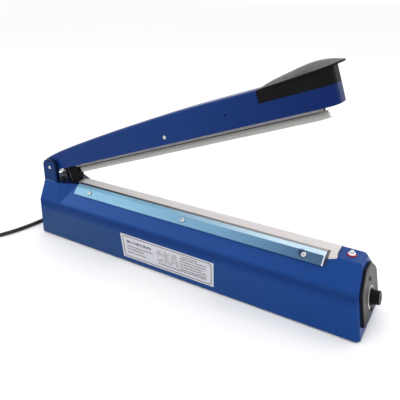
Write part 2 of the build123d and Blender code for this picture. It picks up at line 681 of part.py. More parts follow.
# ---------------------------------------------------------------- arm switch
SWITCH_X, SWITCH_Y0, SWITCH_Y1, SWITCH_Z0, SWITCH_Z1 = -234.0, -9.0, 1.0, 57.0, 72.0
PLUNGER_Y, PLUNGER_TOP, PLUNGER_TRAVEL = -4.0, 80.4, 2.2
SWITCH_SCREW_DX = 10.5
with BuildPart() as arm_switch:
    with BuildSketch(level(SWITCH_Z0)):
        with Locations((SWITCH_X, (SWITCH_Y0 + SWITCH_Y1) / 2)):
            Rectangle(28, SWITCH_Y1 - SWITCH_Y0)
    extrude(amount=SWITCH_Z1 - SWITCH_Z0)
    chamfer(arm_switch.edges().filter_by(Axis.Y), length=0.8)
    with BuildSketch(level(SWITCH_Z0 + 3)):
        with Locations((SWITCH_X, PLUNGER_Y)):
            Circle(2.56)
    extrude(amount=20, mode=Mode.SUBTRACT)
    for dx in (-SWITCH_SCREW_DX, SWITCH_SCREW_DX):
        with BuildSketch(Plane(origin=at(SWITCH_X + dx, SWITCH_Y0 - 1, SWITCH_Z0 + 5), z_dir=(0, 1, 0))):
            Circle(1.3)
        extrude(amount=12, mode=Mode.SUBTRACT)
    with BuildSketch(level(SWITCH_Z0 - 6)):
        with Locations(*[(SWITCH_X + dx, -4) for dx in (-9, 1, 9)]):
            Rectangle(0.8, 4.8)
    extrude(amount=6.2)
write(arm_switch, "arm_switch")

with BuildPart() as switch_plunger:
    with BuildSketch(level(SWITCH_Z0 + 3 + PLUNGER_TRAVEL + 1.2)):
        with Locations((SWITCH_X, PLUNGER_Y)):
            Circle(2.5)
    extrude(amount=PLUNGER_TOP - SWITCH_Z0 - 3 - PLUNGER_TRAVEL - 1.2)
    fillet(switch_plunger.faces().sort_by(Axis.Z)[-1].edges(), radius=1.0)
write(switch_plunger, "switch_plunger")

with BuildPart() as switch_bracket:
    with BuildSketch(Plane(origin=at(SWITCH_X, SWITCH_Y1, FLOOR), x_dir=(1, 0, 0), z_dir=(0, 1, 0))):
        with Locations((0, -(SWITCH_Z1 - FLOOR) / 2)):
            Rectangle(32, SWITCH_Z1 - FLOOR)
        with Locations(*[(dx, -(SWITCH_Z0 + 5 - FLOOR)) for dx in (-SWITCH_SCREW_DX, SWITCH_SCREW_DX)]):
            Circle(1.3, mode=Mode.SUBTRACT)
    extrude(amount=1.5)
    with BuildSketch(level(FLOOR)):
        with Locations((SWITCH_X, SWITCH_Y1 + 9.5)):
            Rectangle(32, 19)
        with Locations((SWITCH_X - 9, SWITCH_Y1 + 11), (SWITCH_X + 9, SWITCH_Y1 + 11)):
            Circle(1.8, mode=Mode.SUBTRACT)
    extrude(amount=1.5)
write(switch_bracket, "switch_bracket")

with BuildPart() as switch_screws:
    for dx in (-SWITCH_SCREW_DX, SWITCH_SCREW_DX):
        head = Plane(origin=at(SWITCH_X + dx, SWITCH_Y0, SWITCH_Z0 + 5), z_dir=(0, -1, 0))
        with BuildSketch(head):
            Circle(2.2)
        extrude(amount=1.4)
        with BuildSketch(head):
            Circle(1.25)
        extrude(amount=-(SWITCH_Y1 - SWITCH_Y0 + 1.5 + 2.0))
        with BuildSketch(Plane(origin=at(SWITCH_X + dx, SWITCH_Y1 + 1.5, SWITCH_Z0 + 5), z_dir=(0, 1, 0))):
            RegularPolygon(radius=2.5, side_count=6)
        extrude(amount=1.6)
    with BuildSketch(level(FLOOR + 1.5)):
        with Locations((SWITCH_X - 9, SWITCH_Y1 + 11), (SWITCH_X + 9, SWITCH_Y1 + 11)):
            Circle(3.2)
    extrude(amount=1.8)
    with BuildSketch(level(FLOOR)):
        with Locations((SWITCH_X - 9, SWITCH_Y1 + 11), (SWITCH_X + 9, SWITCH_Y1 + 11)):
            Circle(1.7)
    extrude(amount=1.6)
write(switch_screws, "switch_screws")

# two thick leads from the winding to the heater terminals, run under the top wall
LEAD_R = 1.6
WINDING_TOP = FLOOR + 11.2 + WINDOW_H - 0.4
with BuildPart() as heater_leads:
    for side, end_x in ((-1, -190), (1, 205)):
        with BuildLine() as lead_path:
            FilletPolyline(at(end_x, 12, 74), at(end_x - side * 16, 16, 66), at(end_x - side * 60, 21, 64),
                           at(CORE_X + side * 26, 21, 64), at(CORE_X + side * 9, 21, 58),
                           at(CORE_X + side * 9, 21, WINDING_TOP), radius=5)
        with BuildSketch(Plane(origin=lead_path.line @ 0, z_dir=lead_path.line % 0)):
            Circle(LEAD_R)
        sweep(path=lead_path.line)
write(heater_leads, "heater_leads")

# ---------------------------------------------------------------- hinge hardware on the base
with BuildPart() as hinge_pin:
    with BuildSketch(Plane(origin=PIVOT, x_dir=(1, 0, 0), z_dir=(0, -1, 0))):
        Circle(PIN_R)
    extrude(amount=EAR_Y + 1.0, both=True)
    chamfer(hinge_pin.faces().filter_by(Axis.Y).edges(), length=0.6)
write(hinge_pin, "hinge_pin")

with BuildPart() as hinge_washers:
    for y0 in (ARM_Y + 0.1, -EAR_GAP):
        with BuildSketch(Plane(origin=PIVOT + Vector(0, y0, 0), x_dir=(1, 0, 0), z_dir=(0, 1, 0))):
            Circle(6.5)
            Circle(PIN_R + 0.05, mode=Mode.SUBTRACT)
        extrude(amount=EAR_GAP - ARM_Y - 0.1)
write(hinge_washers, "hinge_washers")

with BuildPart() as stop_pin:
    with BuildSketch(Plane(origin=stop_at, x_dir=(1, 0, 0), z_dir=(0, -1, 0))):
        Circle(STOP_PIN_R)
    extrude(amount=STOP_PIN_HALF, both=True)
write(stop_pin, "stop_pin")

BOLT_U, BOLT_Y, BOLT_TIP = 11.5, -12.0, -19.5
with BuildPart() as closing_buffer:
    with BuildSketch(level(POST_TOP_Z)):
        with Locations((PIVOT_X + BOLT_U, BOLT_Y)):
            Circle(4.4)
    extrude(amount=PIVOT_Z + BOLT_TIP - 0.35 - POST_TOP_Z)
    fillet(closing_buffer.faces().sort_by(Axis.Z)[-1].edges(), radius=0.8)
write(closing_buffer, "closing_buffer")

# return spring: standing on the base round its stud, its top just under the arm's hinge plate
PLATE_V = -5.0
SPRING_R, SPRING_WIRE, SPRING_TURNS = 4.6, 0.8, 6
spring_under = (PIVOT + U_DIR * 21.5 + V_DIR * PLATE_V).Z - FOOT_H
SPRING_TOP = spring_under - SPRING_WIRE - 0.2
SPRING_LOW = POST_TOP_Z + SPRING_WIRE + 0.05
with BuildPart() as return_spring:
    with BuildLine() as coil_path:
        Helix(pitch=(SPRING_TOP - SPRING_LOW) / SPRING_TURNS, height=SPRING_TOP - SPRING_LOW,
              radius=SPRING_R, center=at(SPRING_X, SPRING_Y, SPRING_LOW))
    with BuildSketch(Plane(origin=coil_path.line @ 0, z_dir=coil_path.line % 0)):
        Circle(SPRING_WIRE)
    sweep(path=coil_path.line, is_frenet=True)
write(return_spring, "return_spring")

# ---------------------------------------------------------------- arm shell
top_points = [(ARM_BACK, 15.3), (4, 18.3), (41, 22.3), (93, 25.7), (205, 30.2), (297, 32.1),
              (346, 31.8), (HANDLE_U - 0.5, 31.2)]
DIMPLE_U, DIMPLE_V = 352.4, 11.4
SIDE_SCREW_U, SIDE_SCREW_V = 249.7, 2.7
HANDLE_SCREW_U = (430.0, 475.0)

with BuildPart() as arm_hollow:
    with BuildSketch(arm_side):
        inner_top = [(ARM_BACK + ARM_WALL, 13.3)] + [(u, v - ARM_WALL) for u, v in top_points[1:-1]]
        inner_top.append((HANDLE_U - 3.2, 31.2 - ARM_WALL))
        with BuildLine():
            Spline(*inner_top)
            Polyline(inner_top[-1], (HANDLE_U - 3.2, HANDLE_V - ARM_WALL),
                     (ARM_END - ARM_WALL, HANDLE_V - ARM_WALL), (ARM_END - ARM_WALL, ARM_LOW - 1),
                     (ARM_BACK + ARM_WALL, ARM_LOW - 1), inner_top[0])
        make_face()
    extrude(amount=ARM_Y - ARM_WALL, both=True)
    inner_end = arm_hollow.faces().sort_by(Axis((0, 0, 0), tuple(U_DIR)))[-1]
    fillet(inner_end.edges().filter_by(Plane.XZ), radius=11.6)

with BuildPart() as arm_shell:
    with BuildSketch(arm_side):
        with BuildLine():
            Spline(*top_points)
            Polyline(top_points[-1], (HANDLE_U - 0.5, HANDLE_V), (ARM_END, HANDLE_V), (ARM_END, ARM_LOW),
                     (ARM_BACK, ARM_LOW), top_points[0])
        make_face()
    extrude(amount=ARM_Y, both=True)
    outer_end = arm_shell.faces().sort_by(Axis((0, 0, 0), tuple(U_DIR)))[-1]
    fillet(outer_end.edges().filter_by(Plane.XZ), radius=14)
    fillet(arm_shell.edges().filter_by(GeomType.BSPLINE), radius=4.5)
    add(arm_hollow.part, mode=Mode.SUBTRACT)
    # hinge bosses inside the side walls and the bore for the pin
    for side in (-1, 1):
        with BuildSketch(arm_side.offset(-side * 12)):
            Circle(7)
        extrude(amount=-side * (ARM_Y - ARM_WALL - 12 + 0.2))
    with BuildSketch(arm_side):
        Circle(PIN_R + 0.05)
    extrude(amount=ARM_Y + 1, both=True, mode=Mode.SUBTRACT)
    with BuildSketch(arm_side):
        with Locations((DIMPLE_U, DIMPLE_V)):
            Circle(1.5)
        with Locations((SIDE_SCREW_U, SIDE_SCREW_V)):
            Circle(1.6)
    extrude(amount=ARM_Y + 1, both=True, mode=Mode.SUBTRACT)
    with BuildSketch(arm_plan(HANDLE_V - 4)):
        with Locations(*[(u, 0) for u in HANDLE_SCREW_U]):
            Circle(1.8)
    extrude(amount=6, mode=Mode.SUBTRACT)
write(arm_shell, "arm_shell")

# ---------------------------------------------------------------- pressing channel, rubber and cloth
LIP_Y, LIP_V, SEAT_V = 10.2, -13.0, -11.0
with BuildPart() as arm_channel:
    with BuildSketch(arm_cross(CHANNEL_U0)):
        with BuildLine():
            Polyline((-LIP_Y, LIP_V), (-LIP_Y, -3), (-17.5, -3), (-17.5, 7), (17.5, 7), (17.5, -3),
                     (LIP_Y, -3), (LIP_Y, LIP_V), (8.6, LIP_V), (8.6, SEAT_V), (-8.6, SEAT_V),
                     (-8.6, LIP_V), close=True)
        make_face()
        with Locations((0, 2)):
            Rectangle(31, 6.4, mode=Mode.SUBTRACT)
        with Locations((0, -5.2)):
            Rectangle(16, 9, mode=Mode.SUBTRACT)
    extrude(amount=CHANNEL_U1 - CHANNEL_U0)
    with BuildSketch(arm_side):
        with Locations((SIDE_SCREW_U, SIDE_SCREW_V)):
            Circle(1.6)
    extrude(amount=ARM_Y, both=True, mode=Mode.SUBTRACT)
write(arm_channel, "arm_channel")

RUBBER_U1, CLOTH_U1 = 464.0, 475.0
with BuildPart() as rubber_strip:
    with BuildSketch(arm_cross(CHANNEL_U0)):
        with Locations((0, (RUBBER_V + SEAT_V) / 2)):
            Rectangle(17, SEAT_V - RUBBER_V)
    extrude(amount=RUBBER_U1 - CHANNEL_U0)
write(rubber_strip, "rubber_strip")

with BuildPart() as ptfe_arm_cloth:
    with BuildSketch(arm_cross(CHANNEL_U0)):
        cloth_y, cloth_v = 8.5 + 0.05 + CLOTH_T / 2, RUBBER_V - 0.05 - CLOTH_T / 2
        with BuildLine():
            Polyline((-cloth_y, LIP_V - 0.1), (-cloth_y, cloth_v), (cloth_y, cloth_v), (cloth_y, LIP_V - 0.1))
        trace(line_width=CLOTH_T)
    extrude(amount=CLOTH_U1 - CHANNEL_U0)
write(ptfe_arm_cloth, "ptfe_arm_cloth")

with BuildPart() as arm_side_screws:
    for side in (-1, 1):
        with BuildSketch(arm_side.offset(-side * ARM_Y)):
            with Locations((SIDE_SCREW_U, SIDE_SCREW_V)):
                Circle(2.8)
        extrude(amount=-side * 1.5)
    side_heads = arm_side_screws.faces().filter_by(Axis.Y).filter_by(lambda f: abs(f.center().Y) > ARM_Y + 1)
    fillet(side_heads.edges(), radius=0.7)
    for side in (-1, 1):
        with BuildSketch(arm_side.offset(-side * 13)):
            with Locations((SIDE_SCREW_U, SIDE_SCREW_V)):
                Circle(1.55)
        extrude(amount=-side * (ARM_Y - 12.9))
        with BuildSketch(arm_side.offset(-side * (ARM_Y + 0.8))):
            with Locations((SIDE_SCREW_U, SIDE_SCREW_V)):
                Rectangle(3.4, 0.7)
                Rectangle(0.7, 3.4)
        extrude(amount=-side * 1.2, mode=Mode.SUBTRACT)
write(arm_side_screws, "arm_side_screws")

# ---------------------------------------------------------------- arm's hinge end
with BuildPart() as hinge_plate:
    with BuildSketch(arm_plan(PLATE_V)):
        with Locations(((7.2 + 46) / 2, 0)):
            Rectangle(46 - 7.2, 2 * (ARM_Y - ARM_WALL))
        with Locations((BOLT_U, BOLT_Y)):
            Circle(2.55, mode=Mode.SUBTRACT)
    extrude(amount=2)
write(hinge_plate, "hinge_plate")

with BuildPart() as adjusting_bolt:
    with BuildSketch(arm_plan(BOLT_TIP)):
        with Locations((BOLT_U, BOLT_Y)):
            Circle(2.5)
    extrude(amount=PLATE_V + 2 - BOLT_TIP)
    chamfer(adjusting_bolt.faces().sort_by(Axis((0, 0, 0), tuple(V_DIR)))[0].edges(), length=0.6)
    with BuildSketch(arm_plan(PLATE_V + 2)):
        with Locations((BOLT_U, BOLT_Y)):
            Circle(3.4)
    extrude(amount=2.6)
write(adjusting_bolt, "adjusting_bolt")

with BuildPart() as adjusting_nut:
    with BuildSketch(arm_plan(PLATE_V - 7)):
        with Locations((BOLT_U, BOLT_Y)):
            RegularPolygon(radius=5.2, side_count=6, rotation=30)
            Circle(2.52, mode=Mode.SUBTRACT)
    extrude(amount=7)
write(adjusting_nut, "adjusting_nut")

ACT_U0, ACT_U1, ACT_Y0, ACT_Y1, ACT_V = 16.8, 43.5, -10.0, 2.0, -36.6
ACT_REACH = 48.0
with BuildPart() as switch_actuator:
    with BuildSketch(Plane(origin=PIVOT + Vector(0, (ACT_Y0 + ACT_Y1) / 2, 0), x_dir=U_DIR, z_dir=(0, -1, 0))):
        arc_u = sqrt(ACT_REACH ** 2 - ACT_V ** 2)
        arc_v = -sqrt(ACT_REACH ** 2 - ACT_U1 ** 2)
        turn = (atan2(ACT_V, arc_u) + atan2(arc_v, ACT_U1)) / 2
        with BuildLine():
            Polyline((arc_u, ACT_V), (ACT_U0, ACT_V), (ACT_U0, PLATE_V), (ACT_U1, PLATE_V), (ACT_U1, arc_v))
            ThreePointArc((ACT_U1, arc_v), (ACT_REACH * cos(turn), ACT_REACH * sin(turn)), (arc_u, ACT_V))
        make_face()
    extrude(amount=(ACT_Y1 - ACT_Y0) / 2, both=True)
write(switch_actuator, "switch_actuator")

# ---------------------------------------------------------------- handle
# the cap is leaf shaped in plan and domed: at each u its half width, rim height and dome height
handle_cap = [(400.5, 18.5, 30.4, 0.8), (421, 20.5, 32.1, 4.8), (446, 22.5, 33.2, 7.6), (472, 23.5, 34.5, 8.6),
              (487, 20.5, 35.4, 6.0), (496.5, 13, 36.2, 2.6), (501.5, 6, 36.7, 0.8)]
RIM_DROP = 2.0
with BuildPart() as cap_solid:
    for u, w, v, h in handle_cap:
        with BuildSketch(arm_cross(u)):
            with BuildLine():
                Polyline((w, v), (w, v - RIM_DROP), (-w, v - RIM_DROP), (-w, v))
                ThreePointArc((-w, v), (0, v + h), (w, v))
            make_face()
    loft()

with BuildPart() as handle:
    with BuildSketch(arm_side):
        with BuildLine():
            Polyline((HANDLE_U, HANDLE_V), (ARM_END, HANDLE_V), (ARM_END, 34.8), (HANDLE_U, 29.9), close=True)
        make_face()
    extrude(amount=ARM_Y - 0.5, both=True)
    grip_end = handle.faces().sort_by(Axis((0, 0, 0), tuple(U_DIR)))[-1]
    fillet(grip_end.edges().filter_by(Plane.XZ), radius=14)
    add(cap_solid.part)
    with BuildSketch(arm_plan(HANDLE_V)):
        with Locations(*[(u, 0) for u in HANDLE_SCREW_U]):
            Circle(1.55)
    extrude(amount=11, mode=Mode.SUBTRACT)
write(handle, "handle")

with BuildPart() as handle_screws:
    with BuildSketch(arm_plan(HANDLE_V - ARM_WALL - 2.2)):
        with Locations(*[(u, 0) for u in HANDLE_SCREW_U]):
            Circle(3.3)
    extrude(amount=2.2)
    with BuildSketch(arm_plan(HANDLE_V - ARM_WALL)):
        with Locations(*[(u, 0) for u in HANDLE_SCREW_U]):
            Circle(1.5)
    extrude(amount=12.4)
write(handle_screws, "handle_screws")

# ---------------------------------------------------------------- mains cord, coil and plug
RELIEF_TIP_Y = 72.0
EXIT_HEIGHT = FOOT_H + CORD_EXIT_Z
with BuildPart() as strain_relief:
    with BuildSketch(Plane(origin=at(CORD_EXIT_X, 0, CORD_EXIT_Z), x_dir=(0, 1, 0), z_dir=(1, 0, 0))):
        with BuildLine():
            Polyline((42.3, 0), (42.3, 7), (44.4, 7), (44.4, 4.95), (48.2, 4.95), (48.2, 7.4), (50.4, 7.0),
                     (50.4, 5.6), (RELIEF_TIP_Y, 3.9), (RELIEF_TIP_Y, 0), close=True)
        make_face()
    revolve(axis=Axis(at(CORD_EXIT_X, 0, CORD_EXIT_Z), (0, 1, 0)))
write(strain_relief, "strain_relief")


def cord_radii(points):
    """The largest arcs that fit at the inner points of a cord's route."""
    runs = [(b - a) for a, b in zip(points, points[1:])]
    found = []
    for run, following in zip(runs, runs[1:]):
        half_turn = radians(run.get_angle(following)) / 2
        found.append(0.45 * min(run.length, following.length) / tan(half_turn))
    return found


COIL_RINGS_LOW, COIL_RINGS_HIGH = (41.0, 34.8, 28.6), (38.2, 32.0)
COIL_HIGH_Z = 9.2
ENTRY_TURN, LEAVE_TURN = radians(-70), radians(-145)
entry = Vector(COIL_X + COIL_R * cos(ENTRY_TURN), COIL_Y + COIL_R * sin(ENTRY_TURN), CORD_R)
entry_way = Vector(sin(ENTRY_TURN), -cos(ENTRY_TURN), 0)
before_entry = entry - entry_way * 21
cord_route = [Vector(SHELL_X + x, y, z) for x, y, z in (
    (CORD_EXIT_X, RELIEF_TIP_Y, EXIT_HEIGHT), (CORD_EXIT_X, RELIEF_TIP_Y + 26, EXIT_HEIGHT),
    (-249.3, 119.0, 11.2), (-274.0, 127.1, 5.0), (-298.7, 119.0, 3.3), (-314.0, 98.0, CORD_R),
    (-313.0, 68.0, CORD_R), (-307.5, 36.0, CORD_R), (-303.0, 0.0, CORD_R), (-305.2, -37.0, CORD_R),
    (-311.0, -66.0, CORD_R), (-318.0, -89.0, CORD_R), (-328.5, -110.5, CORD_R), (-344.5, -128.5, CORD_R),
    (before_entry.X, before_entry.Y, CORD_R), (entry.X, entry.Y, CORD_R))]
cord_arcs = cord_radii(cord_route)
print("power_cord arc radii", [round(r, 1) for r in cord_arcs])
with BuildPart() as power_cord:
    with BuildLine() as cord_line:
        FilletPolyline(*cord_route, radius=cord_arcs)
    with BuildSketch(Plane(origin=cord_line.line @ 0, z_dir=cord_line.line % 0)):
        Circle(CORD_R)
    sweep(path=cord_line.line)
write(power_cord, "power_cord")
cord_length = sum(e.length for e in cord_line.line.edges())
print("power_cord length", round(cord_length, 1), "volume ratio",
      round(power_cord.part.volume / (pi * CORD_R ** 2 * cord_length), 4))

with BuildPart() as cord_coil:
    with BuildSketch(Plane(origin=(SHELL_X + COIL_X, COIL_Y, 0), x_dir=(1, 0, 0), z_dir=(0, -1, 0))):
        with BuildLine():
            Polyline((COIL_RINGS_LOW[-1] - CORD_R, 2.0), (COIL_RINGS_LOW[-1] - 1.6, 0),
                     (COIL_R + 1.6, 0), (COIL_R + CORD_R, 2.0), (COIL_R + CORD_R, 4.2),
                     (COIL_RINGS_HIGH[0] + CORD_R, 10.2), (COIL_RINGS_HIGH[0] + 1.6, COIL_HIGH_Z + CORD_R),
                     (COIL_RINGS_HIGH[1] - 1.6, COIL_HIGH_Z + CORD_R),
                     (COIL_RINGS_HIGH[1] - CORD_R, 10.2), (COIL_RINGS_LOW[-1] - CORD_R, 4.2), close=True)
        make_face()
    revolve(axis=Axis((SHELL_X + COIL_X, COIL_Y, 0), (0, 0, 1)))
write(cord_coil, "cord_coil")
LAST_PART = (ENTRY_TURN - LEAVE_TURN) / (2 * pi)
coil_length = 2 * pi * (sum(COIL_RINGS_LOW) + COIL_RINGS_HIGH[1] + LAST_PART * COIL_RINGS_HIGH[0])

leave = Vector(COIL_X + COIL_RINGS_HIGH[0] * cos(LEAVE_TURN), COIL_Y + COIL_RINGS_HIGH[0] * sin(LEAVE_TURN), 0)
leave_way = Vector(sin(LEAVE_TURN), -cos(LEAVE_TURN), 0)
PLUG_Z, PLUG_TURN = 7.0, 103.0
tail_corner = leave + leave_way * 20
tail_bend = tail_corner + Vector(22 * cos(radians(114)), 22 * sin(radians(114)), 0)
plug_way = Vector(cos(radians(PLUG_TURN)), sin(radians(PLUG_TURN)), 0)
tail_end = tail_bend + plug_way * 20
tail_route = [Vector(SHELL_X + p.X, p.Y, z) for p, z in (
    (leave, COIL_HIGH_Z), (tail_corner, 8.2), (tail_bend, PLUG_Z), (tail_end, PLUG_Z))]
tail_arcs = cord_radii(tail_route)
print("cord_tail arc radii", [round(r, 1) for r in tail_arcs])
with BuildPart() as cord_tail:
    with BuildLine() as tail_line:
        FilletPolyline(*tail_route, radius=tail_arcs)
    with BuildSketch(Plane(origin=tail_line.line @ 0, z_dir=tail_line.line % 0)):
        Circle(CORD_R)
    sweep(path=tail_line.line)
write(cord_tail, "cord_tail")
tail_length = sum(e.length for e in tail_line.line.edges())
print("cord_tail volume ratio", round(cord_tail.part.volume / (pi * CORD_R ** 2 * tail_length), 4))
print("whole cord", round(cord_length + coil_length + tail_length))

plug_back = Plane(origin=tail_route[-1], x_dir=plug_way.cross(Vector(0, 0, 1)), z_dir=plug_way)
PLUG_W, PLUG_H, PLUG_TAPER, PLUG_LEN, PIN_GAP = 26.0, 14.0, 16.0, 20.0, 18.6
with BuildPart() as plug_body:
    with BuildSketch(plug_back):
        Ellipse(4.6, 4.6)
    with BuildSketch(plug_back.offset(PLUG_TAPER)):
        Ellipse(PLUG_W / 2, PLUG_H / 2)
    loft()
    with BuildSketch(plug_back.offset(PLUG_TAPER)):
        Ellipse(PLUG_W / 2, PLUG_H / 2)
    extrude(amount=PLUG_LEN)
write(plug_body, "plug_body")

with BuildPart() as plug_pins:
    with BuildSketch(plug_back.offset(PLUG_TAPER + PLUG_LEN)):
        with Locations((-PIN_GAP / 2, 0), (PIN_GAP / 2, 0)):
            Circle(2.0)
    extrude(amount=19)
    tips = plug_pins.faces().sort_by(Axis((0, 0, 0), tuple(plug_way)))[-2:]
    fillet(tips.edges(), radius=1.2)
write(plug_pins, "plug_pins")
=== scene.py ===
import math
import random

import bmesh
import bpy
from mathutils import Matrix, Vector


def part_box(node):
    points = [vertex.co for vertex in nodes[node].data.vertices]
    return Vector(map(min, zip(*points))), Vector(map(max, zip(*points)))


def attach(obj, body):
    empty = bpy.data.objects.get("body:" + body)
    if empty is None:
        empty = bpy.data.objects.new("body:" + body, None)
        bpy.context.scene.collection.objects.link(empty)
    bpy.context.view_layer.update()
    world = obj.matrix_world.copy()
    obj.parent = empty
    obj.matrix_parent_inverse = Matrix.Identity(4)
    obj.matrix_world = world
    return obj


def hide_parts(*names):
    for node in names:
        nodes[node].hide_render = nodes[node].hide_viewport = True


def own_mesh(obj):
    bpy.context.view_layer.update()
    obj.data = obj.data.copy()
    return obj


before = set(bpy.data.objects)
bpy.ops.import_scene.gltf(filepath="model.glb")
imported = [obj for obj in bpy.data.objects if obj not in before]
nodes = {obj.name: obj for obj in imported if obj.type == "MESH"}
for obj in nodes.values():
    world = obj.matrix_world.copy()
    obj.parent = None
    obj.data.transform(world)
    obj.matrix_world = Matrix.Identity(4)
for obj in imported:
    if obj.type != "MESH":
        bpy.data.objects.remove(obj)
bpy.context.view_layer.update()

rng = random.Random(7)
MM = 0.001

# The base has its own millimetres: x from the shell's middle, y across, z above the shell's rim.
SHELL_X, FOOT_H = -4.9, 2.0
ORIGIN = {"X": SHELL_X, "Y": 0.0, "Z": FOOT_H}
SHELL_TOP, CREASE_Y, CREASE_Z, RIM_Y = 89.0, 45.0, 60.0, 48.5
STRIP_END_X, RAIL_EDGE_Y = 214.0, 8.3
STRIP_SCREW_X, STRIP_SCREW_S = (-175.5, 6.0, 188.0), 32.2
HALF_ROOT = math.sqrt(0.5)


def at(x, y, z):
    """A point in metres from the base's own millimetres."""
    return Vector(((SHELL_X + x) * MM, y * MM, (FOOT_H + z) * MM))


def slope(s, lift):
    """Across and height of a point on a flank: s up the slope from the crease, lift off the face."""
    return CREASE_Y - (s - lift) * HALF_ROOT, CREASE_Z + (s + lift) * HALF_ROOT


def on_front_flank(x, s, lift):
    y, z = slope(s, lift)
    return at(x, -y, z)


# ---------------------------------------------------------------- camera
AZIMUTH, ELEVATION = math.radians(31.275), math.radians(24.94)
camera_data = bpy.data.cameras.new("camera")
camera_data.sensor_width = 36.0
camera_data.lens = 41.615
camera = bpy.data.objects.new("camera", camera_data)
bpy.context.scene.collection.objects.link(camera)
camera.location = (0.330456, -0.518807, 0.395052)
looking = Vector((-math.sin(AZIMUTH) * math.cos(ELEVATION), math.cos(AZIMUTH) * math.cos(ELEVATION),
                  -math.sin(ELEVATION)))
camera.rotation_euler = looking.to_track_quat("-Z", "Y").to_euler()
bpy.context.scene.camera = camera


# ---------------------------------------------------------------- material helper
class Shade:
    """Builds one node material, all of it in the object's own coordinates."""

    def __init__(self, name, colour, rough=0.5, metal=0.0):
        self.material = bpy.data.materials.new(name)
        self.material.use_nodes = True
        self.tree = self.material.node_tree
        self.shader = self.tree.nodes["Principled BSDF"]
        self.colour = colour
        self.set("Base Color", (*colour, 1.0))
        self.set("Roughness", rough)
        self.set("Metallic", metal)
        coordinates = self.node("ShaderNodeTexCoord")
        self.place, self.facing = coordinates.outputs["Object"], coordinates.outputs["Normal"]
        self.height = None

    def node(self, kind, **values):
        made = self.tree.nodes.new(kind)
        for key, value in values.items():
            setattr(made, key, value)
        return made

    def set(self, name, value):
        self.shader.inputs[name].default_value = value
        return self

    def link(self, source, target):
        self.tree.links.new(source, target)

    def scaled(self, scale):
        mapping = self.node("ShaderNodeMapping")
        mapping.inputs["Scale"].default_value = scale if hasattr(scale, "__len__") else (scale,) * 3
        self.link(self.place, mapping.inputs["Vector"])
        return mapping.outputs["Vector"]

    def noise(self, scale, detail=3.0):
        made = self.node("ShaderNodeTexNoise")
        made.inputs["Scale"].default_value = 1.0
        made.inputs["Detail"].default_value = detail
        made.inputs["Roughness"].default_value = 0.5
        self.link(self.scaled(scale), made.inputs["Vector"])
        return made.outputs["Fac"]

    def cells(self, scale):
        made = self.node("ShaderNodeTexVoronoi")
        made.inputs["Scale"].default_value = 1.0
        self.link(self.scaled(scale), made.inputs["Vector"])
        return made.outputs["Distance"]

    def wave(self, scale, axis):
        made = self.node("ShaderNodeTexWave", bands_direction=axis)
        made.inputs["Scale"].default_value = scale
        self.link(self.place, made.inputs["Vector"])
        return made.outputs["Fac"]

    def ramp(self, factor, low, high, from_low=0.3, from_high=0.7):
        made = self.node("ShaderNodeMapRange")
        for name, value in (("From Min", from_low), ("From Max", from_high),
                            ("To Min", low), ("To Max", high)):
            made.inputs[name].default_value = value
        self.link(factor, made.inputs["Value"])
        return made.outputs["Result"]

    def part(self, vector, axis):
        parts = self.node("ShaderNodeSeparateXYZ")
        self.link(vector, parts.inputs[0])
        return parts.outputs[axis]

    def along(self, axis, start, stop, low=0.0, high=1.0):
        """Goes from low to high between two places on an axis, in the base's millimetres."""
        first, last = ((ORIGIN[axis] + value) * MM for value in (start, stop))
        return self.ramp(self.part(self.place, axis), low, high, first, last)

    def both(self, one, two):
        made = self.node("ShaderNodeMath", operation="MULTIPLY")
        self.link(one, made.inputs[0])
        self.link(two, made.inputs[1])
        return made.outputs[0]

    def where(self, *spans):
        """One where every span is: each an axis, a start and a stop, then a low and high if not 0 and 1."""
        factor = self.along(*spans[0])
        for span in spans[1:]:
            factor = self.both(factor, self.along(*span))
        return factor

    def near(self, point, inner, outer):
        """One within the inner distance of a point and none beyond the outer, both in millimetres."""
        made = self.node("ShaderNodeVectorMath", operation="DISTANCE")
        self.link(self.place, made.inputs[0])
        made.inputs[1].default_value = point
        return self.ramp(made.outputs["Value"], 1.0, 0.0, inner * MM, outer * MM)

    def mix(self, factor, one, two):
        """Mixes two colours, each a triple or a socket."""
        made = self.node("ShaderNodeMix", data_type="RGBA")
        self.link(factor, made.inputs["Factor"])
        for name, value in (("A", one), ("B", two)):
            found = [s for s in made.inputs if s.name == name and s.type == "RGBA"][0]
            if isinstance(value, bpy.types.NodeSocket):
                self.link(value, found)
            else:
                found.default_value = (*value, 1.0)
        return [s for s in made.outputs if s.type == "RGBA"][0]

    def paint(self, socket):
        self.painted = socket
        self.link(socket, self.shader.inputs["Base Color"])
        return self

    def tint(self, factor, colour):
        """Lays another colour over the one so far by a factor."""
        return self.paint(self.mix(factor, self.painted, colour))

    def vary(self, scale, amount, detail=3.0):
        """Lightens and darkens the colour by a soft noise."""
        dark = tuple(c * (1 - amount) for c in self.colour)
        light = tuple(min(1.0, c * (1 + amount) + 0.01 * amount) for c in self.colour)
        factor = self.ramp(self.noise(scale, detail), 0.0, 1.0)
        return self.paint(self.mix(factor, dark, light))

    def patches(self, scale, colour, low=0.6, high=0.7, detail=6.0):
        """Lays another colour over the one so far, where a noise is high."""
        return self.tint(self.ramp(self.noise(scale, detail), 0.0, 1.0, low, high), colour)

    def gloss(self, scale, low, high, detail=4.0):
        self.link(self.ramp(self.noise(scale, detail), low, high), self.shader.inputs["Roughness"])
        return self

    def bump(self, factor, depth):
        """Adds a height in metres to the surface."""
        made = self.node("ShaderNodeBump")
        made.inputs["Strength"].default_value = 1.0
        made.inputs["Distance"].default_value = depth
        self.link(factor, made.inputs["Height"])
        if self.height is not None:
            self.link(self.height, made.inputs["Normal"])
        self.height = made.outputs["Normal"]
        self.link(self.height, self.shader.inputs["Normal"])
        return self


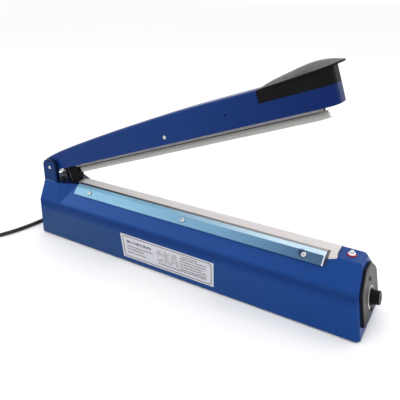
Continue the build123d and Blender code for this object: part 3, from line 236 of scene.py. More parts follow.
def enamel(name, colour, scuff):
    """Sprayed and baked paint: orange peel, dust specks, faint scuffs."""
    s = Shade(name, colour, 0.32)
    s.vary(9, 0.05).patches((260, 900, 260), scuff, 0.74, 0.82, 2.0)
    s.gloss(30, 0.26, 0.36)
    s.bump(s.noise(420, 2.0), 0.00005).bump(s.noise(55, 1.0), 0.00003)
    return s.set("Specular IOR Level", 0.07).set("Coat Weight", 0.02).set("Coat Roughness", 0.1)


def metal(name, colour, rough=0.3, along="X", tone=0.10):
    """Drawn or brushed metal, its fine lines along one axis."""
    fine = {"X": (12, 1400, 1400), "Y": (1400, 12, 1400), "Z": (1400, 1400, 12)}[along]
    s = Shade(name, colour, rough, 1.0)
    dark = tuple(c * (1 - tone) for c in colour)
    light = tuple(min(1.0, c * (1 + tone)) for c in colour)
    lines = s.noise(fine, 2.0)
    s.paint(s.mix(s.ramp(lines, 0, 1), dark, light))
    s.patches(60, tuple(c * 0.85 for c in colour), 0.62, 0.78)
    s.gloss(90, max(0.05, rough - 0.06), rough + 0.08)
    return s.bump(lines, 0.00002)


def moulded(name, colour, rough=0.45, grain=900, depth=0.00005):
    """Moulded plastic with a fine spark-eroded grain."""
    s = Shade(name, colour, rough).set("Specular IOR Level", 0.06)
    s.vary(40, 0.12)
    s.gloss(120, rough - 0.08, rough + 0.1)
    return s.bump(s.noise(grain, 2.0), depth).bump(s.noise(70, 1.0), 0.00008)


def rubbery(name, colour, rough=0.7):
    """Moulded rubber with a matt bloom and dust."""
    s = Shade(name, colour, rough).set("Specular IOR Level", 0.10)
    s.vary(60, 0.2).patches(220, tuple(min(1, c * 1.8 + 0.02) for c in colour), 0.62, 0.72)
    s.gloss(200, rough - 0.12, rough + 0.12)
    return s.bump(s.noise(1300, 2.0), 0.00004)


def woven(name, colour, pitch=0.0006, rough=0.35):
    """Coated glass cloth: two crossed sets of threads under a smooth film."""
    s = Shade(name, colour, rough)
    per = 1.0 / pitch / 3.1416
    crossed = s.both(s.wave(per / 2, "X"), s.wave(per / 2, "Y"))
    s.paint(s.mix(crossed, colour, tuple(c * 0.8 for c in colour)))
    s.patches((25, 130, 130), tuple(c * 0.82 for c in colour), 0.58, 0.75)
    s.gloss(80, rough - 0.08, rough + 0.12)
    return s.bump(crossed, 0.00004).bump(s.noise((30, 160, 160), 2.0), 0.0002)


def printed(name, colour, rough=0.5, tone=0.2, grain=300, depth=0.00001):
    """A thin film of ink or paint, uneven in tone and gloss."""
    s = Shade(name, colour, rough)
    s.vary(grain, tone).gloss(grain, rough - 0.1, rough + 0.1)
    return s.bump(s.noise(900), depth)


def dress(shade, *names):
    for name in names:
        materials = nodes[name].data.materials
        materials.clear()
        materials.append(shade.material)


def add_object(name, data, shade, body=None):
    """A new piece in the scene with the shade's material, riding on a body if one is given."""
    data.materials.append(shade.material)
    made = bpy.data.objects.new(name, data)
    bpy.context.scene.collection.objects.link(made)
    if body:
        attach(made, body)
    return made


def smooth_mesh(name, verts, faces):
    data = bpy.data.meshes.new(name)
    data.from_pydata([tuple(v) for v in verts], [], faces)
    data.validate()
    data.update()
    data.shade_smooth()
    return data


# ---------------------------------------------------------------- cord
CORD_R = 3.1
CORD_EXIT_X, CORD_EXIT_Z, RELIEF_TIP_Y = -234.0, 16.0, 72.0
EXIT_HEIGHT = FOOT_H + CORD_EXIT_Z
COIL_X, COIL_Y, COIL_R = -400.0, -112.0, 41.0
RINGS = (41.0, 34.8, 28.6, 32.0, 38.2)
LAST_RING = len(RINGS) - 1
LOW_Z, HIGH_Z = CORD_R, 9.2
ENTRY_TURN, LEAVE_TURN = math.radians(-70), math.radians(-145)
ENTRY_RUN, LEAVE_RUN, TAIL_RUN, TAIL_BEND, PLUG_RUN = 21, 20, 22, math.radians(114), 20
PLUG_Z, CORNER_Z, PLUG_TURN = 7.0, 8.2, math.radians(103)
PER_TURN, CLIMB_FROM, CLIMB_TURNS, SHIFT_FROM = 16, 2.5, 0.35, 5 / 6


def on_coil(r, turn, z):
    return Vector((COIL_X + r * math.cos(turn), COIL_Y + r * math.sin(turn), z))


def coil_way(turn):
    """The cord's direction of travel at a place on the coil."""
    return Vector((math.sin(turn), -math.cos(turn), 0))


def heading(turn, run):
    return Vector((run * math.cos(turn), run * math.sin(turn), 0))


entry = on_coil(COIL_R, ENTRY_TURN, LOW_Z)
route = [Vector(p) for p in (
    (CORD_EXIT_X, RELIEF_TIP_Y, EXIT_HEIGHT), (CORD_EXIT_X, RELIEF_TIP_Y + 26, EXIT_HEIGHT),
    (-249.3, 119.0, 11.2), (-274.0, 127.1, 5.0), (-298.7, 119.0, 3.3), (-314.0, 98.0, CORD_R),
    (-313.0, 68.0, CORD_R), (-307.5, 36.0, CORD_R), (-303.0, 0.0, CORD_R), (-305.2, -37.0, CORD_R),
    (-311.0, -66.0, CORD_R), (-318.0, -89.0, CORD_R), (-328.5, -110.5, CORD_R), (-344.5, -128.5, CORD_R))]
route += [entry - coil_way(ENTRY_TURN) * ENTRY_RUN, entry]
# the coil winds inwards on the floor, climbs on to itself and winds outwards again
swell = 1 / math.cos(math.pi / PER_TURN)
coil_turns = LAST_RING + (ENTRY_TURN - LEAVE_TURN) / (2 * math.pi)
for i in range(1, round(coil_turns * PER_TURN)):
    turns_made = i / PER_TURN
    ring = min(int(turns_made), LAST_RING)
    here, following = RINGS[ring], RINGS[min(ring + 1, LAST_RING)]
    shift = max(0.0, (turns_made % 1.0 - SHIFT_FROM) / (1 - SHIFT_FROM))
    climb = min(1.0, max(0.0, (turns_made - CLIMB_FROM) / CLIMB_TURNS))
    route.append(on_coil((here + (following - here) * shift) * swell, ENTRY_TURN - 2 * math.pi * turns_made,
                         LOW_Z + (HIGH_Z - LOW_Z) * climb))
leave = on_coil(RINGS[-1], LEAVE_TURN, HIGH_Z)
corner = leave + coil_way(LEAVE_TURN) * LEAVE_RUN
bend = corner + heading(TAIL_BEND, TAIL_RUN)
end = bend + heading(PLUG_TURN, PLUG_RUN)
corner.z, bend.z, end.z = CORNER_Z, PLUG_Z, PLUG_Z
route += [leave, corner, bend, end]
cord_points = [Vector(((SHELL_X + p.x) * MM, p.y * MM, p.z * MM)) for p in route]

cord_black = rubbery("cord_black", (0.022, 0.022, 0.024), 0.5)
cord_data = bpy.data.curves.new("mains_cord", "CURVE")
cord_data.dimensions = "3D"
spline = cord_data.splines.new("NURBS")
spline.points.add(len(cord_points) - 1)
for target, p in zip(spline.points, cord_points):
    target.co = (*p, 1.0)
spline.order_u = 3
spline.use_endpoint_u = True
spline.resolution_u = 6
cord_data.bevel_depth = CORD_R * MM
cord_data.bevel_resolution = 4
cord_data.use_fill_caps = True
mains_cord = add_object("mains_cord", cord_data, cord_black, "base")
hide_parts("power_cord", "cord_coil", "cord_tail")

# ---------------------------------------------------------------- materials of the painted shell and arm
BLUE_BASE, BLUE_ARM = (0.006, 0.042, 0.190), (0.006, 0.030, 0.140)
LEAN, LEAN_FROM, LEAN_TO = -0.62, -0.2745, -0.2705
base_enamel = enamel("base_enamel", BLUE_BASE, (0.05, 0.11, 0.28))
# painted reflection: paler up the flanks towards the hinge, as far as the post's facet, which leans back
leaning = base_enamel.node("ShaderNodeMath", operation="MULTIPLY_ADD")
base_enamel.link(base_enamel.part(base_enamel.place, "Z"), leaning.inputs[0])
leaning.inputs[1].default_value = LEAN
base_enamel.link(base_enamel.part(base_enamel.place, "X"), leaning.inputs[2])
before_post = base_enamel.ramp(leaning.outputs[0], 0.12, 1.0, LEAN_FROM, LEAN_TO)
flank_reflection = base_enamel.where(("X", 224.9, -215.1), ("Z", CREASE_Z - 1.5, CREASE_Z + 3.5))
base_enamel.tint(base_enamel.both(flank_reflection, before_post), (0.026, 0.080, 0.280))
# painted reflection paler low on the walls towards the hinge, and painted shade in the crease
base_enamel.tint(base_enamel.where(("X", 244.9, -235.1), ("Z", 53, 43, 0, 0.8)), (0.024, 0.058, 0.150))
base_enamel.tint(base_enamel.where(("Z", 45, 54, 0, 0.8), ("Z", CREASE_Z + 4, CREASE_Z - 1.5)),
                 (0.003, 0.026, 0.130))
# painted shadow on the post's rear facet, beside the slot
base_enamel.tint(base_enamel.where(("Z", 86.5, 87.5), ("Y", 3, 7), ("X", -219.1, -216.1),
                                   ("X", -195.1, -198.1)), (0.035, 0.040, 0.052))
# painted shade: the ears darker than the post, and darkest between them
base_enamel.tint(base_enamel.where(("Z", 90, 91, 0, 0.9), ("X", -240.1, -245.1)), (0.005, 0.026, 0.105))
base_enamel.tint(base_enamel.where(("Y", -28, -27.5), ("Y", 28, 27.5), ("Z", 89.5, 90.5, 0, 0.9)),
                 (0.002, 0.008, 0.036))
# painted shadow on the flank between the end of the strip and the end of the cloth
base_enamel.tint(base_enamel.where(("X", STRIP_END_X - 0.3, STRIP_END_X - 0.1),
                                   ("X", STRIP_END_X + 3.5, STRIP_END_X + 2.1),
                                   ("Z", 77, 81, 0, 0.85), ("Y", -10, -12)), (0.030, 0.030, 0.026))
dress(base_enamel, "base_shell")

arm_enamel = enamel("arm_enamel", BLUE_ARM, (0.05, 0.09, 0.24))
# painted shade: the arm darkens towards its free end
arm_enamel.tint(arm_enamel.where(("X", 4.9, 204.9, 0, 0.9)), (0.001, 0.013, 0.090))
dress(arm_enamel, "arm_shell")

# ---------------------------------------------------------------- materials of the metal pieces
dress(metal("zinc_sheet", (0.60, 0.61, 0.63), 0.38, "X"), "bottom_plate", "transformer_strap",
      "switch_bracket", "hinge_plate")
dress(metal("plated_steel", (0.52, 0.53, 0.55), 0.24, "Z", 0.05), "bottom_screws", "potentiometer_nut",
      "transformer_screws", "board_spacers", "switch_screws", "arm_side_screws", "adjusting_nut",
      "handle_screws")
dress(metal("blackened_steel", (0.06, 0.06, 0.065), 0.35, "Z", 0.05), "end_panel_screws", "adjusting_bolt")
dress(metal("ground_steel", (0.46, 0.47, 0.50), 0.28, "Y"), "hinge_pin", "stop_pin", "hinge_washers",
      "lamp_clip")
dress(metal("turned_steel", (0.55, 0.55, 0.57), 0.30, "X"), "timer_potentiometer", "timer_shaft")
dress(metal("bed_aluminium", (0.66, 0.67, 0.69), 0.32, "X"), "bed_rail")
dress(metal("channel_aluminium", (0.24, 0.23, 0.25), 0.42, "X").set("Metallic", 0.6), "arm_channel")
dress(metal("ribbon_alloy", (0.42, 0.40, 0.39), 0.35, "X"), "heating_ribbon")
dress(metal("lamp_chrome", (0.80, 0.81, 0.83), 0.12, "Z", 0.03), "lamp_bezel")
dress(metal("terminal_brass", (0.70, 0.50, 0.20), 0.28, "Y"), "terminal_screws")
dress(metal("pin_brass", (0.76, 0.60, 0.30), 0.24, "X"), "plug_pins")
dress(metal("core_steel", (0.16, 0.16, 0.17), 0.5, "X"), "transformer_core")
dress(metal("label_foil", (0.56, 0.56, 0.60), 0.36, "X", 0.05).set("Metallic", 0.55), "name_label")

strip_blue = Shade("strip_blue", (0.22, 0.44, 0.61), 0.3, 0.30)
strip_blue.vary((14, 60, 60), 0.10, 2.0)
# painted reflection: the strip darkens towards the lamp end, most of all over its last stretch
strip_blue.tint(strip_blue.where(("X", -95.1, 204.9)), (0.034, 0.105, 0.215))
strip_blue.tint(strip_blue.where(("X", 144.9, 204.9, 0, 0.6)), (0.030, 0.070, 0.135))
# painted highlight along the flange at the top, brighter towards the lamp, and along the strip's cut end
strip_blue.tint(strip_blue.where(("Z", 88.8, 89.6), ("X", -55.1, 144.9, 0, 0.9)), (0.56, 0.74, 0.86))
strip_blue.tint(strip_blue.where(("X", STRIP_END_X - 2.1, STRIP_END_X - 1.5, 0, 0.9)), (0.60, 0.66, 0.76))
strip_blue.gloss((20, 900, 900), 0.26, 0.38, 2.0).bump(strip_blue.noise((12, 1400, 1400), 2.0), 0.00001)
# painted shade in each screw's recess, and a painted contact shadow round its head on the strip
FACE_LIFT, HEAD_LIFT = 1.5, 3.2
recessed_steel = metal("recessed_steel", (0.60, 0.61, 0.62), 0.24, "Z", 0.05)
for screw_x in STRIP_SCREW_X:
    under_head = on_front_flank(screw_x, STRIP_SCREW_S, FACE_LIFT)
    strip_blue.tint(strip_blue.near(under_head, 3.2, 5.0), (0.020, 0.040, 0.070))
    recess = on_front_flank(screw_x, STRIP_SCREW_S, HEAD_LIFT)
    recessed_steel.tint(recessed_steel.near(recess, 0.9, 1.6), (0.07, 0.08, 0.07))
# painted shade up and to the left of the last screw
last_screw_shade = on_front_flank(STRIP_SCREW_X[-1] - 4, STRIP_SCREW_S + 2, FACE_LIFT)
strip_blue.tint(strip_blue.near(last_screw_shade, 3.0, 6.6), (0.006, 0.018, 0.075))
dress(strip_blue, "front_clamp_strip", "rear_clamp_strip")
dress(recessed_steel, "strip_screws")

plate_grey = metal("plate_grey", (0.100, 0.092, 0.089), 0.5, "Y")
plate_grey.set("Metallic", 0.3).set("Specular IOR Level", 0.15)
plate_grey.tint(plate_grey.where(("Z", 44, 24)), (0.026, 0.025, 0.025))
dress(plate_grey, "end_plate")

# ---------------------------------------------------------------- materials of the rubber and plastic pieces
dress(rubbery("foot_rubber", (0.020, 0.020, 0.020)), "rubber_feet", "closing_buffer")
dress(cord_black, "strain_relief", "plug_body")
dress(rubbery("press_rubber", (0.34, 0.33, 0.31), 0.6), "rubber_strip")
dress(rubbery("lead_sleeve", (0.62, 0.60, 0.54), 0.55), "heater_leads")
dress(moulded("panel_black", (0.006, 0.007, 0.012), 0.45), "end_panel")
dress(moulded("knob_black", (0.005, 0.005, 0.005), 0.4), "timer_knob")
dress(moulded("actuator_black", (0.006, 0.006, 0.007), 0.5), "switch_actuator", "arm_switch")
dress(moulded("terminal_resin", (0.62, 0.60, 0.54), 0.5), "terminal_blocks")
dress(moulded("winding_tape", (0.72, 0.52, 0.10), 0.4), "transformer_winding")
dress(moulded("board_green", (0.02, 0.16, 0.06), 0.35), "timer_board")
dress(moulded("relay_blue", (0.02, 0.08, 0.32), 0.3), "switching_relay")
dress(moulded("capacitor_sleeve", (0.02, 0.02, 0.05), 0.3), "board_capacitors")
dress(moulded("connector_green", (0.05, 0.30, 0.10), 0.45), "board_connectors")
dress(moulded("plunger_red", (0.50, 0.03, 0.02), 0.4), "switch_plunger")
dress(woven("glass_tape", (0.30, 0.29, 0.27), 0.0007, 0.6), "insulation_tape")

# painted reflection on the domed top of the handle where it faces up, broken by a noise; its sides stay black
handle_black = moulded("handle_black", (0.005, 0.005, 0.0055), 0.45, 700, 0.00006)
facing_up = handle_black.ramp(handle_black.part(handle_black.facing, "Z"), 0.0, 1.0, 0.45, 0.80)
top_reflection = handle_black.both(facing_up, handle_black.ramp(handle_black.noise((220, 40, 220), 4.0), 0.75, 1.0))
handle_black.tint(top_reflection, (0.115, 0.117, 0.117))
dress(handle_black, "handle")

lens = Shade("lamp_lens", (0.80, 0.80, 0.78), 0.12)
lens.vary(300, 0.10).gloss(200, 0.08, 0.18)
lens.bump(lens.cells(900), 0.0001)
lens.set("Transmission Weight", 0.25).set("IOR", 1.49)
dress(lens, "lamp_lens")


# ---------------------------------------------------------------- coated cloth on the bed
COLUMNS = 220
CLOTH_THICK = 0.00025


def rounded(points, radius, steps=4):
    """A line of 2-D points with each inner corner rounded."""
    out = [points[0]]
    for a, b, c in zip(points, points[1:], points[2:]):
        a, b, c = Vector(a), Vector(b), Vector(c)
        p = b + (a - b).normalized() * radius
        q = b + (c - b).normalized() * radius
        for i in range(steps + 1):
            t = i / steps
            out.append(tuple(p * (1 - t) ** 2 + b * 2 * t * (1 - t) + q * t ** 2))
    return out + [points[-1]]


def thin_sheet(name, rows, shade, body):
    """A cloth through rows of points, given thickness and smoothed."""
    across = len(rows[0])
    verts = [p for row in rows for p in row]
    faces = [(i * across + j, i * across + j + 1, (i + 1) * across + j + 1, (i + 1) * across + j)
             for i in range(len(rows) - 1) for j in range(across - 1)]
    made = add_object(name, smooth_mesh(name, verts, faces), shade, body)
    solid = made.modifiers.new("thickness", "SOLIDIFY")
    solid.thickness = CLOTH_THICK
    solid.offset = 0.0
    return made


RAIL_T, TAPE_T, RIBBON_T = 2.6, 0.5, 0.2
BED_TOP = SHELL_TOP + RAIL_T + TAPE_T + RIBBON_T + 0.2
FLANK_TOP_S, FLANK_LIFT = 40.9, 0.22
REAR_LOW_S, FRONT_LOW_S, CORNER_LOW_S = 19.5, 28.5, 36.5
CLOTH_X0, CLOTH_X1 = -209.5, 226.0
CORNER_CUT, FLANK_CUT = 7.0, -1.5
GAP_Y, GAP_HALF, RIPPLE, LOWEST_RIPPLE, TRIMMED_SHARE = 12.5, 4.5, 0.12, -0.1, 0.02
over_bed = [slope(FLANK_TOP_S, FLANK_LIFT), (RAIL_EDGE_Y, BED_TOP)]
bed_profile = [(-y, z) for y, z in [slope(FRONT_LOW_S, FLANK_LIFT)] + over_bed]
bed_profile = rounded(bed_profile + over_bed[::-1] + [slope(REAR_LOW_S, FLANK_LIFT)], 1.2)
corner_y, corner_z = slope(CORNER_LOW_S, FLANK_LIFT)
rows = []
for i in range(COLUMNS + 1):
    x = CLOTH_X0 + (CLOTH_X1 - CLOTH_X0) * i / COLUMNS
    past = max(0.0, x - STRIP_END_X) / (CLOTH_X1 - STRIP_END_X)
    row = []
    for y, z in bed_profile:
        # the cloth bridges the gap between the rail and the flank, and ripples there
        free = max(0.0, 1 - abs(abs(y) - GAP_Y) / GAP_HALF)
        ripple = RIPPLE * free * (math.sin(x * 0.21 + y * 0.13) + 0.6 * math.sin(x * 0.083 + 1.3))
        # past the end of the strip the front corner is trimmed up the flank, and the end is cut askew
        askew = CORNER_CUT if y < -corner_y else FLANK_CUT if y < -12 else 0.0
        if past and y < -corner_y:
            y = -corner_y - (-corner_y - y) * TRIMMED_SHARE
            z = corner_z - (corner_z - z) * TRIMMED_SHARE
        row.append(at(x - askew * past, y, z + max(LOWEST_RIPPLE, ripple)))
    rows.append(row)
bed_cloth_shade = woven("ptfe_cloth", (0.56, 0.525, 0.515), 0.0007, 0.34)
# painted shadow in the gap along the front of the rail, strongest at the hinge end, and painted shadow on the
# cloth at the strip's end
front_of_rail, before_end = ("Y", -8.4, -9.0), ("X", STRIP_END_X + 3.9, STRIP_END_X + 2.7)
bed_cloth_shade.tint(bed_cloth_shade.where(front_of_rail, ("X", 204.9, -115.1, 0.5, 0.95), before_end),
                     (0.012, 0.015, 0.022))
bed_cloth_shade.tint(bed_cloth_shade.where(front_of_rail, before_end,
                                           ("X", STRIP_END_X - 0.7, STRIP_END_X - 0.1, 0, 0.85)),
                     (0.050, 0.045, 0.042))
bed_cloth = thin_sheet("bed_cloth", rows, bed_cloth_shade, "base")
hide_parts("ptfe_bed_cloth")

# ---------------------------------------------------------------- the arm's own directions
SWING = math.radians(20)
PIVOT = at(-258, 0, 115)
U_DIR = Vector((math.cos(SWING), 0, math.sin(SWING)))
V_DIR = Vector((-math.sin(SWING), 0, math.cos(SWING)))


def on_arm(u, y, v):
    """A point in metres from the arm's own millimetres: u along it, y across, v square to both."""
    return PIVOT + U_DIR * (u * MM) + Vector((0, y * MM, 0)) + V_DIR * (v * MM)


# ---------------------------------------------------------------- coated cloth round the pressing rubber
CHANNEL_U0, CHANNEL_U1, CLOTH_U1 = 50.0, 466.0, 475.0
LIP_Y, LIP_V, RUBBER_V = 10.2, -13.0, -21.7
# past the rubber's end the cloth hangs loose, frays, and is held back on its rear side
LOOSE_U, HELD_BACK, LIFT_AT_END, WAVE, FRAY = 464.0, 8.5, 1.6, 0.6, 1.6
cloth_y, cloth_v, cloth_edge = 8.7, RUBBER_V - 0.2, LIP_V - 0.1
arm_profile = rounded([(-cloth_y, cloth_edge), (-cloth_y, cloth_v),
                       (cloth_y, cloth_v), (cloth_y, cloth_edge)], 1.0)
rows = []
for i in range(COLUMNS + 1):
    u = CHANNEL_U0 + (CLOTH_U1 - CHANNEL_U0) * i / COLUMNS
    loose = max(0.0, (u - LOOSE_U) / (CLOTH_U1 - LOOSE_U))
    row = []
    for j, (y, v) in enumerate(arm_profile):
        low = cloth_v + RIPPLE * (math.sin(u * 0.17 + y * 0.3) + math.sin(u * 0.061)) * 0.5 + RIPPLE
        wave = WAVE * loose * math.sin(j * 1.1 + 0.8)
        fray = loose * FRAY * math.sin(j * 2.3) if i == COLUMNS else 0.0
        held_back = HELD_BACK * loose * min(1.0, max(0.0, (y + 4.0) / 6.0))
        lifted = max(v, low) + wave * 0.5 + LIFT_AT_END * loose
        row.append(on_arm(u + fray - held_back, y * (1 + 0.06 * loose), lifted))
    rows.append(row)
arm_cloth = thin_sheet("arm_cloth", rows, woven("ptfe_arm_cloth", (0.40, 0.395, 0.375), 0.0007, 0.42), "arm")
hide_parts("ptfe_arm_cloth")

# ---------------------------------------------------------------- return spring
SPRING_X, SPRING_Y, SPRING_R, WIRE_R, TURNS = -230.0, 11.0, 4.6, 0.8, 6
PER_COIL, ROUND, CLOSED_SHARE, SPRING_KEEP = 20, 8, 0.12, 0.72
low_corner, high_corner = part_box("return_spring")
spring_low, spring_high = low_corner.z + WIRE_R * MM, high_corner.z - WIRE_R * MM
spring_axis = at(SPRING_X, SPRING_Y, 0)
verts, faces = [], []
steps = TURNS * PER_COIL
for i in range(steps + 1):
    turn = 2 * math.pi * i / PER_COIL
    # the end turns lie closed and flat, as ground ends do
    share = i / steps
    rise = (share - CLOSED_SHARE / 2) / (1 - CLOSED_SHARE)
    if share < CLOSED_SHARE / 2:
        rise = 0.0
    if share > 1 - CLOSED_SHARE / 2:
        rise = 1.0
    outward = Vector((math.cos(turn), math.sin(turn), 0))
    height = spring_low + (spring_high - spring_low) * rise
    middle = Vector((spring_axis.x, spring_axis.y, height)) + outward * SPRING_R * MM
    for j in range(ROUND):
        a = 2 * math.pi * j / ROUND
        verts.append(middle + (outward * math.cos(a) + Vector((0, 0, math.sin(a)))) * WIRE_R * MM)
for i in range(steps):
    for j in range(ROUND):
        k = (j + 1) % ROUND
        faces.append((i * ROUND + j, i * ROUND + k, (i + 1) * ROUND + k, (i + 1) * ROUND + j))
faces.append(tuple(range(ROUND - 1, -1, -1)))
faces.append(tuple(steps * ROUND + j for j in range(ROUND)))
spring = add_object("wound_spring", smooth_mesh("wound_spring", verts, faces),
                    metal("spring_steel", (0.60, 0.60, 0.62), 0.24, "Z"), "base")
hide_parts("return_spring")
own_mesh(spring)


# ---------------------------------------------------------------- thin printed and applied marks
def flat_marks(name, polygons, place, thickness, shade, body):
    """Thin plates from 2-D outlines; place(x, y, lift) gives each corner's point."""
    mesh = bmesh.new()
    for outline in polygons:
        low = [mesh.verts.new(place(x, y, 0.0)) for x, y in outline]
        high = [mesh.verts.new(place(x, y, thickness)) for x, y in outline]
        mesh.faces.new(high)
        mesh.faces.new(low[::-1])
        for i in range(len(outline)):
            k = (i + 1) % len(outline)
            mesh.faces.new((low[i], low[k], high[k], high[i]))
    bmesh.ops.recalc_face_normals(mesh, faces=mesh.faces)
    data = bpy.data.meshes.new(name)
    mesh.to_mesh(data)
    mesh.free()
    return add_object(name, data, shade, body)


def bar(x0, y0, x1, y1):
    return [(x0, y0), (x1, y0), (x1, y1), (x0, y1)]


def closed_stroke(points, width):
    """Quads of one width round a closed line, each a little longer than its run."""
    out = []
    for a, b in zip(points, points[1:] + points[:1]):
        a, b = Vector(a), Vector(b)
        way = (b - a).normalized()
        side = Vector((-way.y, way.x)) * width / 2
        reach = way * width * 0.15
        a, b = a - reach, b + reach
        out.append([tuple(p) for p in (a - side, b - side, b + side, a + side)])
    return out


# ---------------------------------------------------------------- label
TILT = math.atan2(RIM_Y - CREASE_Y, CREASE_Z)
LABEL_FACE = 0.42


def on_label(x, s, lift):
    """A point on the front wall: s up the wall from the rim, lift off the label's face."""
    out, sine, cosine = LABEL_FACE + lift, math.sin(TILT), math.cos(TILT)
    return at(x, -RIM_Y + s * sine - out * cosine, s * cosine + out * sine)


def label_point(a, b):
    """A point of the label from shares across and up, inside its skewed outline."""
    low, high = (-90 + 162 * a, 7.0), (-96.5 + 166.5 * a, 45.5 - a)
    return low[0] + (high[0] - low[0]) * b, low[1] + (high[1] - low[1]) * b


def label_bar(a0, b0, a1, b1):
    return [label_point(a0, b0), label_point(a1, b0), label_point(a1, b1), label_point(a0, b1)]


FRAME_WIDTH, FRAME_ROUND_A, FRAME_ROUND_B = 1.15, 0.022, 0.09
frame_line = []
for a, b, start in ((0.955, 0.84, 0), (0.045, 0.84, 90), (0.045, 0.16, 180), (0.955, 0.16, 270)):
    for i in range(5):
        turn = math.radians(start + 22.5 * i)
        frame_line.append(label_point(a + FRAME_ROUND_A * math.cos(turn), b + FRAME_ROUND_B * math.sin(turn)))
# a bold heading of plain blocks, then rows of shorter and paler ones that stand for small print
MARGIN, HEADING_END = 0.065, 0.33
heading_marks = closed_stroke(frame_line, FRAME_WIDTH)
cursor = MARGIN
while cursor < HEADING_END:
    width = rng.uniform(0.010, 0.020)
    heading_marks.append(label_bar(cursor, 0.66, cursor + width, 0.77))
    cursor += width + rng.choice((0.004, 0.004, 0.012))
flat_marks("label_heading", heading_marks, on_label, 0.02, printed("label_ink", (0.06, 0.06, 0.07)), "base")
LINE_HEIGHT = 0.055
small_print = []
for low, first, last in ((0.50, MARGIN, 0.36), (0.38, MARGIN, 0.26), (0.24, MARGIN, 0.28), (0.80, 0.68, 0.84),
                         (0.71, 0.66, 0.93), (0.60, 0.66, 0.93), (0.49, 0.66, 0.90), (0.38, 0.66, 0.93),
                         (0.27, 0.66, 0.93), (0.19, 0.42, 0.93)):
    cursor = first
    while cursor < last:
        width = rng.uniform(0.006, 0.024)
        small_print.append(label_bar(cursor, low, min(cursor + width, last), low + LINE_HEIGHT))
        cursor += width + rng.uniform(0.003, 0.006)
flat_marks("label_small_print", small_print, on_label, 0.015,
           printed("label_small_print", (0.15, 0.15, 0.16)), "base")
# a mottled block stands for the small drawing beside the heading
CELL_COLUMNS, CELL_LINES, CELL_SHARE = 14, 9, 0.62
drawing = []
for column in range(CELL_COLUMNS):
    for line in range(CELL_LINES):
        if rng.random() < CELL_SHARE:
            a, b = 0.415 + 0.0165 * column, 0.30 + 0.058 * line
            drawing.append(label_bar(a, b, a + 0.0135, b + 0.042))
flat_marks("label_drawing", drawing, on_label, 0.012, printed("label_drawing", (0.27, 0.27, 0.28)), "base")

# ---------------------------------------------------------------- dial on the end plate, pointer on the knob
END_LEAN, END_X = math.radians(11), 275.0
KNOB_S, FACE_OUT, KNOB_TIP = 37.3, 4.4, 15.6
DIAL_R, DIAL_STEPS, DIAL_SWEEP, DIAL_THIN, DIAL_SPREAD = 13.0, 56, 280.0, 0.7, 2.2
END_OUT = Vector((math.cos(END_LEAN), 0, math.sin(END_LEAN)))
END_UP = Vector((-math.sin(END_LEAN), 0, math.cos(END_LEAN)))


def on_end(y, s, out):
    return at(END_X, 0, 0) + Vector((0, y, 0)) * MM + END_UP * s * MM + END_OUT * out * MM


def on_plate(y, s, lift):
    return on_end(y, KNOB_S + s, FACE_OUT + 0.01 + lift)


def on_knob(y, s, lift):
    return on_end(y, KNOB_S + s, KNOB_TIP - 0.45 + lift)


def dial_edge(share, spread):
    """A point of the dial's arc by its share of the sweep; the arc narrows as it goes."""
    turn = math.radians(DIAL_SWEEP * (share - 0.5))
    r = DIAL_R + (DIAL_THIN + DIAL_SPREAD * (1 - share)) * spread
    return r * math.sin(turn), r * math.cos(turn)


dial_marks = []
for i in range(DIAL_STEPS):
    first, last = i / DIAL_STEPS, (i + 1) / DIAL_STEPS
    dial_marks.append([dial_edge(first, 0), dial_edge(last, 0), dial_edge(last, 1), dial_edge(first, 1)])
flat_marks("dial_scale", dial_marks, on_plate, 0.03,
           printed("dial_ink", (0.70, 0.70, 0.68), 0.45, 0.1), "base")
flat_marks("knob_pointer", [bar(-0.5, 3.2, 0.5, 8.1)], on_knob, 0.35,
           printed("pointer_paint", (0.78, 0.78, 0.76), 0.4, 0.08, depth=0.00002), "knob")

# ---------------------------------------------------------------- gasket round the lamp
LAMP_X, GASKET_STEPS = 241, 48
GASKET_SECTION = ((4.75, 0.0), (5.7, 0.0), (5.7, 0.8), (5.3, 1.4), (4.75, 1.4))
verts, faces = [], []
for ring, (r, z) in enumerate(GASKET_SECTION):
    above = (ring + 1) % len(GASKET_SECTION)
    for i in range(GASKET_STEPS):
        turn, k = 2 * math.pi * i / GASKET_STEPS, (i + 1) % GASKET_STEPS
        verts.append(at(LAMP_X + r * math.cos(turn), r * math.sin(turn), SHELL_TOP + 0.03 + z))
        faces.append((ring * GASKET_STEPS + i, ring * GASKET_STEPS + k, above * GASKET_STEPS + k,
                      above * GASKET_STEPS + i))
add_object("lamp_gasket", smooth_mesh("lamp_gasket", verts, faces),
           rubbery("gasket_red", (0.50, 0.03, 0.025), 0.4), "base")

# ---------------------------------------------------------------- small metal pieces by the hinge
ACTUATOR_Y = 10.02


def on_actuator(u, v, lift):
    return on_arm(u, -ACTUATOR_Y - lift, v)


edge_metal = metal("actuator_insert", (0.55, 0.55, 0.56), 0.3, "Z")
flat_marks("actuator_insert", [bar(21.0, -36.0, 21.7, -8.0)], on_actuator, 0.12, edge_metal, "arm")
# a bent wire clip under the hinge plate, beside the channel's end
clip_bars = [bar(43.9, -11.0, 44.9, -5.0), bar(47.4, -12.0, 48.4, -6.2), bar(43.9, -6.2, 48.4, -5.0)]
flat_marks("wire_clip", clip_bars, on_actuator, 0.8, edge_metal, "arm")

# ---------------------------------------------------------------- marks that lie on both sides
SIDES = ((-1, "front"), (1, "rear"))
LIP_SHADOW_T, EAR_FOOT_Y, EAR_FOOT_Z = 1.0, 29.19, 91.0
# painted shadow: a thin dark sheet along the channel's lips, where the gap to the cloth lies in shade
lip_shadow_black = rubbery("lip_shadow_black", (0.010, 0.010, 0.011), 0.6)
for side, name in SIDES:
    flat_marks(f"lip_shadow_{name}", [bar(CHANNEL_U0, LIP_V, CHANNEL_U1, LIP_V + LIP_SHADOW_T)],
               lambda u, v, lift, side=side: on_arm(u, side * (LIP_Y + 0.02 + lift), v), 0.12,
               lip_shadow_black, "arm")
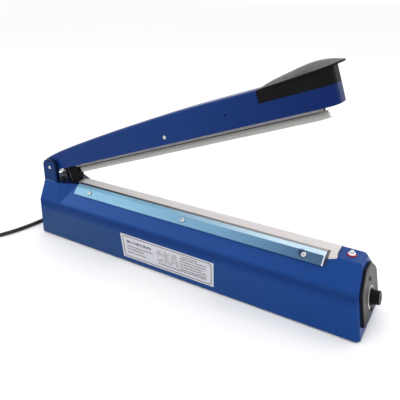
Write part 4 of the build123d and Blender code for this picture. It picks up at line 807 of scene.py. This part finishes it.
# painted highlight along the crease at the foot of each ear
crease_highlight = printed("crease_highlight", (0.10, 0.20, 0.48), 0.4, 0.2, 200, 0.00002)
for side, name in SIDES:
    flat_marks(f"ear_foot_{name}", [bar(-273.0, EAR_FOOT_Z, -250.0, EAR_FOOT_Z + 0.6)],
               lambda x, z, lift, side=side: at(x, side * (EAR_FOOT_Y + lift), z), 0.05,
               crease_highlight, "base")

# ---------------------------------------------------------------- loose threads at the cloth's cut end
THREADS, THREAD_R, ROOT = 46, 0.00011, -3
threads = bpy.data.curves.new("cloth_threads", "CURVE")
threads.dimensions = "3D"
threads.bevel_depth = THREAD_R
threads.bevel_resolution = 1
for i in range(THREADS):
    y = rng.choice((rng.uniform(-8.4, -3.0), -9.0, -9.1))
    v = cloth_v + rng.uniform(0.2, 1.6) if abs(y) < 7 else rng.uniform(cloth_v, LIP_V)
    line = threads.splines.new("BEZIER")
    line.bezier_points.add(2)
    reach = rng.uniform(1.5, 4.2)
    drift, rise = rng.uniform(-0.6, 0.6), rng.uniform(-0.4, 1.6)
    offsets = ((ROOT, 0, 0), (reach * 0.3, drift * 0.3, rise * 0.2), (reach, drift, rise))
    for point, (du, dy, dv) in zip(line.bezier_points, offsets):
        point.co = on_arm(CLOTH_U1 - 0.5 + du, y + dy, v + dv + 0.5)
        point.handle_left_type = point.handle_right_type = "AUTO"
add_object("cloth_threads", threads, woven("cloth_threads", (0.70, 0.69, 0.66), 0.0007, 0.5), "arm")

# ---------------------------------------------------------------- floor and light
FLOOR_HALF = 12
floor_data = bpy.data.meshes.new("studio_floor")
floor_corners = [(x, y, 0) for x, y in bar(-FLOOR_HALF, -FLOOR_HALF, FLOOR_HALF, FLOOR_HALF)]
floor_data.from_pydata(floor_corners, [], [(0, 1, 2, 3)])
floor = add_object("studio_floor", floor_data, Shade("studio_floor", (0.86, 0.86, 0.86), 0.7))
floor.location.z = -0.0002

world = bpy.data.worlds.new("studio")
bpy.context.scene.world = world
world.use_nodes = True
background = world.node_tree.nodes["Background"]
background.inputs["Color"].default_value = (0.99, 0.995, 1.0, 1.0)
background.inputs["Strength"].default_value = 1.12


def area_light(name, place, aim, size, power, tint=(1, 1, 1)):
    data = bpy.data.lights.new(name, "AREA")
    data.shape = "RECTANGLE"
    data.size, data.size_y = size
    data.energy = power
    data.color = tint
    lamp = bpy.data.objects.new(name, data)
    bpy.context.scene.collection.objects.link(lamp)
    lamp.location = place
    lamp.rotation_euler = (Vector(aim) - Vector(place)).to_track_quat("-Z", "Y").to_euler()


area_light("overhead", (0.1, 0.1, 1.6), (0, 0, 0.1), (1.8, 1.4), 8)
area_light("front_soft", (-0.5, -1.7, 0.9), (0, 0, 0.1), (1.4, 1.0), 2.5, (1.0, 0.99, 0.97))
area_light("left_soft", (-1.7, -0.4, 0.8), (0, 0, 0.1), (1.0, 1.2), 2.5)
area_light("back_rim", (0.6, 1.6, 1.1), (0, 0, 0.2), (1.4, 0.8), 4)
bpy.context.scene.view_settings.view_transform = "Standard"
